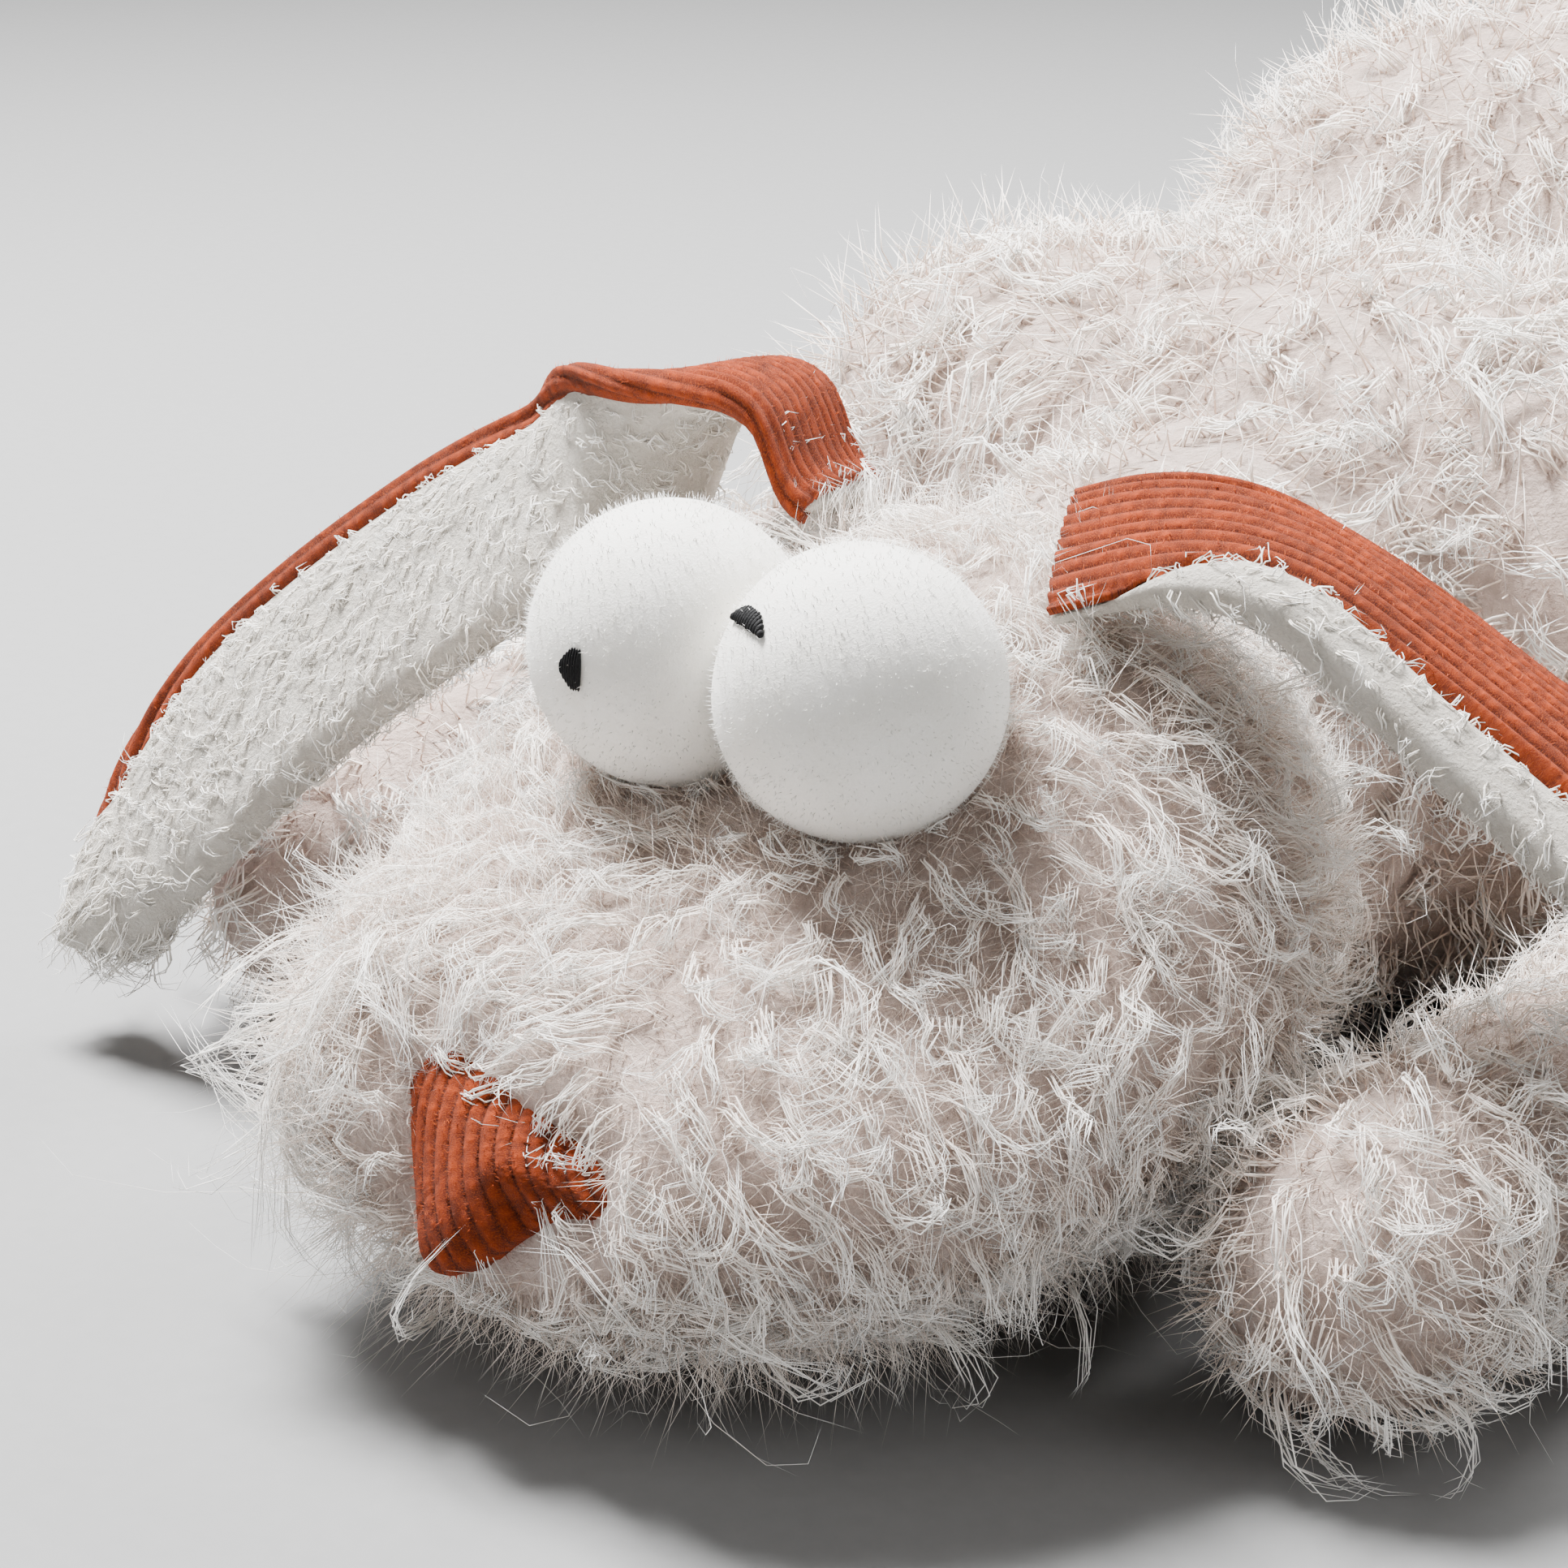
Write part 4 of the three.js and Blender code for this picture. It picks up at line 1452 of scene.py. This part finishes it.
@dataclass
class BallEye:
    """A velour ball eye with its pressed face, its pile and its stitched pupil."""

    side: Side
    turn: float
    lift: float
    half_width: float
    half_height: float
    stitches: int
    cut: Cut
    seed: int

    @property
    def centre(self) -> Array:
        """The ball's middle."""
        return eye_centre(self.side)

    def ball(self) -> bpy.types.Object:
        """Builds the ball: a sphere cut where it presses on the other, its edge rounded.

        Returns:
            The ball.
        """
        deselect()
        bpy.ops.mesh.primitive_uv_sphere_add(segments=40, ring_count=24, radius=EYE_RADIUS * MM,
                                             location=tuple(self.centre * MM))
        obj = fresh(f"{self.side.word}_eye_ball")
        bpy.ops.object.transform_apply(location=True, rotation=True, scale=True)
        points = points_of(obj)
        side = self.side.value
        gap = points[:, 0] * side - 0.3
        rounded = 0.5 * (gap + np.sqrt(gap**2 + 3.0)) + 0.05
        points[:, 0] = np.where(gap < 6, side * (0.25 + rounded), points[:, 0])
        set_points(obj, points)
        apply_modifier(obj, "SUBSURF", levels=1, render_levels=1)
        smooth_shaded(obj)
        return obj

    def pressed(self, roots: Array) -> Array:
        """Shortens the pile where the two balls press on each other."""
        return np.where(roots[:, :1] * self.side.value < 1.2, 0.3, 1.0)

    def pupil(self) -> bpy.types.Object:
        """Sews the pupil: satin stitches side by side over the ball.

        Returns:
            The stitches, as one piece.
        """
        turn, lift = math.radians(self.turn), math.radians(self.lift)
        out = np.array([math.cos(lift) * math.sin(turn), -math.cos(lift) * math.cos(turn), math.sin(lift)])
        right = np.array([math.cos(turn), math.sin(turn), 0.0])
        up = np.cross(right, out) * -1
        made = []
        for k in range(self.stitches):
            u = (k + 0.5) / self.stitches * 2 - 1
            from_cut = (1 - u) / 2 if self.cut is Cut.SIDE else u
            tall = self.half_height * math.sqrt(max(0.06, 1 - from_cut**2))
            sink = tall - self.half_height if self.cut is Cut.BELOW else 0.0
            deselect()
            bpy.ops.mesh.primitive_uv_sphere_add(segments=8, ring_count=8, radius=1)
            stitch = fresh(f"{self.side.word}_stitch")
            p = points_of(stitch) * MM
            wide = self.half_width / self.stitches * 1.35
            x = u * self.half_width + p[:, 0] * wide
            y = p[:, 2] * tall * (1.0 + 0.06 * math.sin(5.1 * k)) + sink
            rise = np.sqrt(np.maximum(EYE_RADIUS**2 - x**2 - y**2, 1)) + 0.35 + p[:, 1] * 0.42
            set_points(stitch, self.centre + x[:, None] * right + y[:, None] * up + rise[:, None] * out)
            made.append(stitch)
        deselect()
        for stitch in made:
            stitch.select_set(True)
        bpy.context.view_layer.objects.active = made[0]
        bpy.ops.object.join()
        obj = fresh(f"{self.side.word}_pupil_stitches")
        bpy.ops.object.mode_set(mode="EDIT")
        bpy.ops.mesh.select_all(action="SELECT")
        bpy.ops.mesh.normals_make_consistent(inside=False)
        bpy.ops.object.mode_set(mode="OBJECT")
        smooth_shaded(obj)
        return obj

    def build(self, wardrobe: Wardrobe) -> None:
        """Builds and dresses the eye.

        Args:
            wardrobe: the materials.
        """
        word = self.side.word
        ball = self.ball()
        pile = EYE_NAP.grown(f"{word}_eye_pile", ball, self.seed, self.pressed)
        dress(ball, wardrobe.velour, "velour", "head", f"{word}_eye_cover", f"{word}_eye_stuffing")
        dress(pile, wardrobe.velour_pile, "velour", "head")
        dress(self.pupil(), wardrobe.thread, "black_thread", "head", f"{word}_pupil")


@dataclass
class NosePad:
    """The corduroy nose: a domed rounded triangle whose ribs sweep round its lower corner."""

    width: float = 35
    drop: float = 24
    top_share: float = 0.4
    corner: float = 5
    rise: float = 5.2
    ribs: float = 2.2
    rib_height: float = 0.75
    fan: tuple[float, float] = (26, 22)
    fan_radius: float = 36
    rings: int = 44
    spokes: int = 132

    def rim(self, angles: Array) -> Array:
        """Finds how far the rim lies from the middle.

        Args:
            angles: directions in the nose's plane, from its right, in radians.

        Returns:
            The distances.
        """
        top = self.drop * self.top_share
        corners = np.array([[self.width / 2 - self.corner, top - self.corner],
                            [self.corner - self.width / 2, top - self.corner],
                            [0, top - self.drop + self.corner]])
        way = np.stack([np.cos(angles), np.sin(angles)], axis=1)
        best = np.full(len(angles), 1e9)
        for k in range(3):
            a, b = corners[k], corners[(k + 1) % 3]
            edge = (b - a) / np.linalg.norm(b - a)
            out = np.array([edge[1], -edge[0]])
            facing = way @ out
            flat_edge = (out @ a + self.corner) / np.maximum(facing, 1e-6)
            best = np.where(facing > 1e-6, np.minimum(best, flat_edge), best)
        reach = best
        for centre in corners:
            along = way @ centre
            inside = along**2 - centre @ centre + self.corner**2
            tip = along + np.sqrt(np.maximum(inside, 0))
            beyond = np.linalg.norm(way * best[:, None] - centre, axis=1) > self.corner
            near = (way @ unit(centre)) > 0.9
            reach = np.where(near & beyond & (inside > 0), np.minimum(reach, tip), reach)
        return reach

    def build(self, wardrobe: Wardrobe) -> None:
        """Builds and dresses the pad.

        Args:
            wardrobe: the materials.
        """
        obj, flat = grid("nose_pad", self.spokes, self.rings)
        share = flat[:, 1] + 0.5
        angle = (flat[:, 0] + 0.5) * 2 * np.pi
        face = np.minimum(share * 1.12, 1)
        radius = self.rim(angle) * face
        x, y = self.drawn(radius * np.cos(angle), radius * np.sin(angle))
        dome = self.rise * (1 - face**2.6) ** 0.6
        tuck = np.maximum(share * 1.12 - 1, 0) / 0.12
        across = self.across(x, y)
        relief = self.rib_height * (np.abs(np.cos(np.pi * across)) ** 0.7 - 0.5) * (1 - 0.7 * tuck)
        pinch = 1.8 * np.exp(-(((x - 7.5) / 3.4) ** 2 + ((y + 3.0) / 2.6) ** 2))
        z = dome + relief - 4.0 * tuck - pinch
        inward = 1 - 0.12 * tuck
        set_points(obj, NOSE_ORIGIN + (x * inward)[:, None] * NOSE_RIGHT + (y * inward)[:, None] * NOSE_UP
                   + z[:, None] * NOSE_OUT)
        map_ribs(obj, across, self.along(x, y))
        sew_shut(obj, 2e-6)
        nap = NOSE_NAP.grown("nose_nap", obj, 41)
        dress(obj, wardrobe.corduroy, "corduroy", "head", "nose_patch")
        dress(nap, wardrobe.nap, "corduroy", "head")

    def drawn(self, x: Array, y: Array) -> tuple[Array, Array]:
        """Draws the left corner out and pulls the edge under it in.

        Args:
            x: distances to the bunny's left.
            y: distances upward.

        Returns:
            Both, moved.
        """
        corner = smooth(x, 4, 17.5)
        notch = np.exp(-(((x - 9) / 5) ** 2 + ((y + 4.5) / 5) ** 2))
        return x + 4.5 * corner - 1.2 * notch, y + 0.55 * (3.6 - y) * corner + 1.6 * notch

    def across(self, x: Array, y: Array) -> Array:
        """Counts the ribs across the pad, which fan round its upper right corner."""
        return np.hypot(x - self.fan[0], (y - self.fan[1]) * 0.92) / self.ribs

    def along(self, x: Array, y: Array) -> Array:
        """Measures along the ribs."""
        return np.arctan2(y - self.fan[1], x - self.fan[0]) * self.fan_radius


@dataclass
class LongEar:
    """A drooping ear: a ribbed corduroy back sewn round its edge to a plush lining."""

    side: Side
    heading: tuple[float, float]
    pitch: tuple[float, float]
    pitch_span: tuple[float, float]
    twist: tuple[float, float]
    twist_span: tuple[float, float]
    seed: int
    tip_droop: float
    rolls: tuple[float, float]
    laps: tuple[float, float]
    lap_span: tuple[float, float]
    puff: float
    length: float = 152
    width: float = 37
    root_width: float = 27
    ribs: float = 2.6
    rib_height: float = 0.75
    roll: float = 1.9
    back_end: float = 0.93
    puff_place: float = 0.1
    puff_reach: float = 0.08
    wall: float = 1.1
    rows: int = 90
    columns: int = 104
    lining_rows: int = 60
    lining_columns: int = 40

    STEPS = 600
    ROOT_END = 0.07
    LIFT_END = 0.17
    LIFT_FROM = -3
    LIFT_TO = 3.6

    @property
    def root(self) -> Array:
        """The middle of the seam at which the ear lifts."""
        return JOINTS[f"{self.side.word}_ear_lift"]

    def frames(self, t: Array) -> tuple[Array, Array, Array, Array]:
        """Finds the ear's line and directions.

        Args:
            t: shares of its length, rising from 0.

        Returns:
            Points, and unit directions across, outward and along.
        """
        fine = np.linspace(0, 1, self.STEPS + 1)
        heading = np.radians(self.heading[0] + (self.heading[1] - self.heading[0]) * fine)
        pitch = np.radians(self.pitch[0] + (self.pitch[1] - self.pitch[0]) * smooth(fine, *self.pitch_span)
                           - self.tip_droop * smooth(fine, 0.42, 1))
        twist = np.radians(self.twist[0] + (self.twist[1] - self.twist[0]) * smooth(fine, *self.twist_span))
        flat = np.cos(pitch)
        along = np.stack([np.cos(heading) * flat, np.sin(heading) * flat, np.sin(pitch)], axis=1)
        level = unit(np.cross(np.array([0, 0, 1.0]), along))
        across = turned(level, along, twist)
        out = np.cross(along, across)
        steps = np.concatenate([[[0, 0, 0]], np.cumsum(along[:-1], axis=0)])
        point = self.root + steps * self.length / self.STEPS

        def read(values: Array) -> Array:
            """Reads rows at t."""
            return np.stack([np.interp(t, fine, values[:, k]) for k in range(3)], axis=1)

        return read(point), unit(read(across)), unit(read(out)), unit(read(along))

    def half(self, t: Array) -> Array:
        """Finds half the ear's width at shares of its length.

        Args:
            t: the shares.

        Returns:
            The distances.
        """
        wide = self.root_width + (self.width - self.root_width) * smooth(t, 0, 0.45)
        start = 1 - 1.3 * self.width / self.length
        over = np.maximum(0, (t - start) / (1 - start))
        return wide / 2 * np.maximum(0.14, np.sqrt(np.maximum(1 - over**2, 0)))

    def placed(self, t: Array, v: Array, height: Array) -> Array:
        """Places points on the ear.

        Args:
            t: shares of its length.
            v: shares of its half width, from -1 to 1.
            height: distances outward from the sewn plane.

        Returns:
            The points.
        """
        point, across, out, _ = self.frames(t)
        wide = self.half(t)
        cup = 3 * smooth(t, 0, 0.45) * (2 * v * wide / self.width) ** 2
        puff = self.puff * smooth(t, 0, 0.07) * np.exp(-(((t - self.puff_place) / self.puff_reach) ** 2))
        return point + across * (v * wide)[:, None] + out * (height - cup + puff)[:, None]

    def lap(self, t: Array, upper: Array) -> Array:
        """Finds how far the corduroy goes beyond its rolled edge, or stops short of it.

        Args:
            t: shares of the ear's length.
            upper: True on the upper edge.

        Returns:
            The distances, less than 0 where the lining turns up over the edge.
        """
        return np.where(upper, self.laps[0], self.laps[1] * smooth(t, *self.lap_span))

    def located(self, flat: Array) -> tuple[Array, Array, Array, Array]:
        """Finds the points inside the ear.

        Args:
            flat: rows of points.

        Returns:
            Rows that lie inside, their share of the ear's length, their height and the way outward.
        """
        t = np.linspace(0, 1, 77)
        point, across, out, along = self.frames(t)
        near = np.flatnonzero(((flat > point.min(axis=0) - 20) & (flat < point.max(axis=0) + 20)).all(axis=1))
        found = []
        for some in np.array_split(near, len(near) // 20000 + 1):
            gaps = flat[some][:, None] - point[None]
            nearest = np.argmin((gaps**2).sum(axis=2), axis=1)
            gap = gaps[np.arange(len(some)), nearest]
            aside = np.abs((gap * across[nearest]).sum(axis=1)) / self.half(t)[nearest]
            height = (gap * out[nearest]).sum(axis=1)
            ahead = (gap * along[nearest]).sum(axis=1)
            inside = (aside < 1.02) & (height > -8) & (height < 3.2) & (np.abs(ahead) < 3)
            found.append((some[inside], t[nearest[inside]], height[inside], out[nearest[inside]]))
        return tuple(np.concatenate(rows) for rows in zip(*found))

    def holds(self, points: Array) -> Array:
        """Tells which points lie inside the ear, past its root.

        Args:
            points: points in any number of rows.

        Returns:
            True for each point inside.
        """
        rows, t, _, _ = self.located(points.reshape(-1, 3))
        inside = np.zeros(points.size // 3, bool)
        inside[rows[t > self.ROOT_END]] = True
        return inside.reshape(points.shape[:-1])

    def lifted(self, points: Array) -> Array:
        """Lifts hairs that run into the ear's root so that they lie over it.

        Args:
            points: points in any number of rows.

        Returns:
            The points, with those in the root's upper half moved on to its face.
        """
        flat = points.reshape(-1, 3).copy()
        rows, t, height, out = self.located(flat)
        low = (t < self.LIFT_END) & (height > self.LIFT_FROM)
        flat[rows[low]] += out[low] * (self.LIFT_TO - height[low])[:, None]
        return flat.reshape(points.shape)

    def back(self) -> bpy.types.Object:
        """Builds the corduroy back with its ribs, its sewn groove and its rolled edge.

        Returns:
            The back.
        """
        obj, flat = grid(f"{self.side.word}_ear_corduroy", self.columns, self.rows)
        t = (flat[:, 1] + 0.5) * self.back_end
        wide = self.half(t)
        roll = np.minimum(self.roll, 0.5 * wide)
        level = wide - roll
        upper = flat[:, 0] > 0
        most = np.radians(np.where(upper, *self.rolls))
        lap = self.lap(t, upper) * np.minimum(wide / self.width * 2, 1)
        end = level + roll * most + lap
        across = flat[:, 0] * 2 * end
        inner = np.minimum(np.abs(across), level)
        turn = np.minimum((np.abs(across) - inner) / roll, most)
        beyond = np.maximum(np.abs(across) - level - roll * most, 0)
        count = across / self.ribs
        groove = 0.5 * np.exp(-(((level - np.abs(across) - 0.6) / 0.35) ** 2))
        rib = self.rib_height * (np.abs(np.cos(np.pi * count)) ** 0.7 - 0.55) - groove
        x = np.sign(across) * (inner + (roll + rib) * np.sin(turn) + beyond * np.cos(turn))
        crest = 0.3 + 2.2 * np.sqrt(1 - 0.75 * (inner / wide) ** 2)
        height = crest - roll + (roll + rib) * np.cos(turn) - beyond * np.sin(turn)
        height -= 1.7 * smooth(np.abs(across), end - 2.2, end) ** 2 * smooth(-lap, 1, 4)
        set_points(obj, self.placed(t, x / wide, height))
        map_ribs(obj, count, t * self.length)
        self.face_out(obj)
        apply_modifier(obj, "SOLIDIFY", thickness=self.wall * MM, offset=-1.0)
        smooth_shaded(obj)
        return obj

    def face_out(self, obj: bpy.types.Object) -> None:
        """Turns the back's faces outward, so that its wall grows into the ear.

        Args:
            obj: the back, still one layer.
        """
        _, _, out, _ = self.frames(np.array([0.5]))
        middle = obj.data.polygons[len(obj.data.polygons) // 2]
        if float(np.dot(np.array(middle.normal), out[0])) < 0:
            obj.data.flip_normals()

    def lining(self) -> bpy.types.Object:
        """Builds the plush lining: a closed cushion under the back.

        Returns:
            The lining.
        """
        obj, flat = grid(f"{self.side.word}_ear_plush", self.lining_columns, self.lining_rows)
        turn = (flat[:, 0] + 0.5) * 2 * np.pi
        t = np.clip(flat[:, 1] + 0.5, 0, 1)
        v = np.cos(turn) * (1 - 1.0 / np.maximum(self.half(t), 2.5))
        thick = (3.2 + 4.8 * smooth(t, 0, 0.3)) * 0.86
        under = np.sin(turn) > 0
        tip = 3.4 * smooth(t, 0.87, 0.95)
        edge = self.half(t) * (1 - v)
        edge_below = self.half(t) * (1 + v)
        hemmed = 1 - 0.85 * np.exp(-((edge / (2 + 1.6 * self.laps[0])) ** 2)) * (1 - smooth(t, 0.86, 0.93))
        turned_up = smooth(-self.lap(t, v > 0) - edge_below, -1.5, 1.5) * (v < 0)
        over = (2.6 * turned_up + tip) * np.abs(np.sin(turn)) ** 0.5
        height = np.where(under, -0.2 - thick * hemmed * np.abs(np.sin(turn)) ** 0.75, 0.15 + over)
        set_points(obj, self.placed(t, v, height))
        sew_shut(obj, 1e-5)
        return obj

    def curls(self, plush: bpy.types.Object) -> bpy.types.Object:
        """Grows the lining's fine curls, longer round the tip.

        Args:
            plush: the lining.

        Returns:
            The curls.
        """
        coat = Coat(Ground(plush), self.seed)
        roots, normals = coat.ground.spaced(EAR_CURLS.spacing, coat.rng)
        steps = np.linspace(0, 1, 80)
        point, across, out, along = self.frames(steps)
        nearest = np.argmin(((roots[:, None, :] - point[None]) ** 2).sum(axis=2), axis=1)
        t = steps[nearest]
        aside = np.sum((roots - point[nearest]) * across[nearest], axis=1)
        lap = self.lap(t, aside > 0)
        edge = self.half(t) - np.abs(aside) - 1.2 - lap
        tip = smooth(t, 0.82, 0.93)
        turned_up = (aside < 0) & (self.half(t) + aside < -lap + 0.6) & (lap < -1)
        topside = (np.sum(normals * out[nearest], axis=1) > 0.2) & (t < 0.9)
        kept = turned_up | ~(topside | (edge < 0) & (t < 0.87))
        roots, normals, nearest, tip, edge = roots[kept], normals[kept], nearest[kept], tip[kept], edge[kept]
        scale = np.maximum(0.5 + 0.5 * smooth(edge, 0, 5), tip) * (1 + 1.2 * tip)
        comb = coat.comb(roots, normals) + along[nearest] * (0.3 + 1.5 * tip)[:, None]
        guides = coat.guides(roots, normals, laid_flat(comb, normals), EAR_CURLS, scale)
        paths, _ = coat.hairs(guides, normals, EAR_CURLS)
        return coat.tubes(f"{self.side.word}_ear_curls", paths, EAR_CURLS.thickness)

    def build(self, wardrobe: Wardrobe) -> None:
        """Builds and dresses the ear.

        Args:
            wardrobe: the materials.
        """
        body = f"{self.side.word}_ear"
        back = self.back()
        nap = EAR_NAP.grown(f"{body}_nap", back, self.seed + 10)
        dress(nap, wardrobe.nap, "corduroy", body)
        dress(back, wardrobe.corduroy, "corduroy", body, f"{body}_back")
        plush = self.lining()
        curls = self.curls(plush)
        dress(plush, wardrobe.lining, "lining_plush", body, f"{body}_lining")
        dress(curls, wardrobe.lining_pile, "lining_plush", body)


@dataclass
class Studio:
    """The camera at the photograph's angle, soft lamps and a pale floor."""

    camera: tuple[float, float, float] = (0.2768, -0.46835, 0.2245)
    azimuth: float = 40
    elevation: float = 20
    lens: float = 83.85

    LAMPS = (("key_lamp", (-0.55, 0.0, 1.2), 0.45, 115.0),
             ("back_lamp", (0.1, 0.75, 0.85), 0.4, 16.0),
             ("side_lamp", (0.95, 0.0, 0.6), 0.6, 3.5),
             ("front_lamp", (-0.5, -1.1, 0.8), 1.0, 4.0))
    AIM = (0, -0.1, 0.05)

    def build(self) -> None:
        """Builds the studio."""
        data = bpy.data.cameras.new("camera")
        data.lens = self.lens
        data.sensor_width = 36
        camera = bpy.data.objects.new("camera", data)
        camera.location = self.camera
        a, e = math.radians(self.azimuth), math.radians(self.elevation)
        toward = Vector((-math.sin(a) * math.cos(e), math.cos(a) * math.cos(e), -math.sin(e)))
        camera.rotation_euler = toward.to_track_quat("-Z", "Y").to_euler()
        bpy.context.scene.collection.objects.link(camera)
        bpy.context.scene.camera = camera
        deselect()
        bpy.ops.mesh.primitive_plane_add(size=8)
        floor = fresh("floor")
        floor.data.materials.append(FloorFinish("floor_paper", (0.25, 0.25, 0.25)).material())
        for name, place, size, power in self.LAMPS:
            self.lamp(name, place, size, power)
        world = bpy.data.worlds.new("studio_air")
        world.use_nodes = True
        world.node_tree.nodes["Background"].inputs[0].default_value = (1.0, 0.99, 0.97, 1)
        world.node_tree.nodes["Background"].inputs[1].default_value = 0.2
        bpy.context.scene.world = world

    def lamp(self, name: str, place: tuple[float, float, float], size: float, power: float) -> None:
        """Hangs a square soft lamp that faces the bunny.

        Args:
            name: the lamp's name.
            place: where it hangs, in metres.
            size: its side.
            power: its watts.
        """
        data = bpy.data.lights.new(name, "AREA")
        data.size = size
        data.energy = power
        lamp = bpy.data.objects.new(name, data)
        lamp.location = place
        lamp.rotation_euler = (Vector(self.AIM) - lamp.location).to_track_quat("-Z", "Y").to_euler()
        bpy.context.scene.collection.objects.link(lamp)


HEAD_LOCKS = Pile(4.4, 9, (13, 27), (0.15, 0.24), lock_radius=1.5, pinch=0.55, bend=(70, 210),
                  swirl=240, curl_radius=(0.9, 2.4), curl_turns=(0.7, 1.4), frizz=0.4, height=(2.5, 11))
HEAD_STRAYS = Pile(6.6, 1, (14, 26), (0.07, 0.11), lock_radius=0, frizz=1.8, bend=(20, 80),
                   height=(1.5, 14))
HEAD_UNDERCOAT = Fluff(0.86, (5, 10.5), (0.08, 0.13))
BODY_LOCKS = Pile(8.8, 9, (16, 30), (0.3, 0.46), lock_radius=2.6, pinch=0.55, bend=(70, 200),
                  swirl=220, curl_radius=(1.2, 3.2), curl_turns=(0.6, 1.3), frizz=0.8, height=(2.5, 13))
BODY_STRAYS = Pile(13, 1, (14, 24), (0.12, 0.2), lock_radius=0, frizz=2.2, bend=(20, 80),
                   height=(1.5, 12))
BODY_UNDERCOAT = Fluff(0.155, (7, 13), (0.26, 0.4))
LIMB_LOCKS = Pile(5.1, 9, (14, 26), (0.19, 0.29), lock_radius=1.8, pinch=0.55, bend=(70, 200),
                  swirl=220, curl_radius=(1.0, 2.6), curl_turns=(0.7, 1.5), frizz=0.5, height=(2.5, 11))
LIMB_STRAYS = Pile(9, 1, (12, 22), (0.1, 0.16), lock_radius=0, frizz=1.8, bend=(20, 80),
                   height=(1.5, 12))
LIMB_UNDERCOAT = Fluff(0.52, (5, 10.5), (0.13, 0.2))
LEG_UNDERCOAT = Fluff(0.16, (5, 11), (0.22, 0.34))
LEG_LOCKS = Pile(7.4, 7, (14, 26), (0.3, 0.46), segments=5, lock_radius=2.4, pinch=0.5, bend=(60, 180),
                 swirl=200, curl_radius=(1.0, 2.6), curl_turns=(0.5, 1.1), frizz=0.7, height=(2, 11))
EAR_CURLS = Pile(2.35, 3, (5.0, 8.5), (0.17, 0.28), segments=5, lock_radius=0.8, pinch=0.5, bend=(70, 170),
                 swirl=170, curl_radius=(0.4, 1.2), frizz=0.35, height=(0.4, 4.5), lean=0.8)
EYE_NAP = Nap(4500, 0.45, (0.5, 1.25), (0.1, 0.18))
NOSE_NAP = Nap(1500, 0.6, (0.4, 1.1), (0.09, 0.15))
EAR_NAP = Nap(4500, 0.6, (0.4, 1.1), (0.09, 0.15))
EARS = (LongEar(Side.LEFT, heading=(20, -8), pitch=(20, -30), pitch_span=(0, 0.3), twist=(22, 1),
                twist_span=(0.03, 0.25), seed=31, tip_droop=38, rolls=(165, 30), laps=(0.6, -8.5),
                lap_span=(0.02, 0.2), puff=0),
        LongEar(Side.RIGHT, heading=(194, 211), pitch=(19, -36), pitch_span=(0, 0.3), twist=(6, 135),
                twist_span=(0.1, 0.31), seed=32, tip_droop=21, rolls=(180, 20), laps=(2.8, -4),
                lap_span=(0.1, 0.3), puff=10.5))


def main() -> None:
    """Builds the bunny and its studio."""
    logging.basicConfig(level=logging.INFO, format="%(name)s: %(message)s")
    Studio().build()
    wardrobe = Wardrobe()
    HeadForm(StuffedForm("head", "head", 4.5), 11, HEAD_LOCKS, HEAD_STRAYS, HEAD_UNDERCOAT,
             ("right_nape", "right_cheek", "muzzle", "left_cheek", "left_nape")).build(wardrobe)
    BodyForm(StuffedForm("body", "body", 6.0, inset=1.4, bulge=(SHOULDER, 30, 6)), 12, BODY_LOCKS,
             BODY_STRAYS, BODY_UNDERCOAT, ("right", "front", "left")).build(wardrobe)
    FurryForm(StuffedForm("tail", "body", 4.0), 13, LEG_LOCKS, LIMB_STRAYS, LEG_UNDERCOAT).build(wardrobe)
    LimbForm(StuffedForm("left_arm", "left_arm", 4.5), 14, LIMB_LOCKS, LIMB_STRAYS, LIMB_UNDERCOAT,
             joint="left_arm_swing").build(wardrobe)
    LimbForm(StuffedForm("right_arm", "right_arm", 4.5), 15, LEG_LOCKS, LIMB_STRAYS, LEG_UNDERCOAT,
             joint="right_arm_swing").build(wardrobe)
    for side, seed in ((Side.LEFT, 16), (Side.RIGHT, 17)):
        LimbForm(StuffedForm(f"{side.word}_leg", f"{side.word}_leg", 4.5), seed, LEG_LOCKS, LIMB_STRAYS,
                 LEG_UNDERCOAT, joint=f"{side.word}_leg_swing",
                 way=(side.value * math.sqrt(0.5), math.sqrt(0.5), 0)).build(wardrobe)
    BallEye(Side.LEFT, turn=-25, lift=38, half_width=4.2, half_height=1.4, stitches=14, cut=Cut.BELOW,
            seed=21).build(wardrobe)
    BallEye(Side.RIGHT, turn=0, lift=4, half_width=1.6, half_height=2.9, stitches=8, cut=Cut.SIDE,
            seed=22).build(wardrobe)
    NosePad().build(wardrobe)
    for ear in EARS:
        ear.build(wardrobe)


if __name__ == "__main__":
    main()
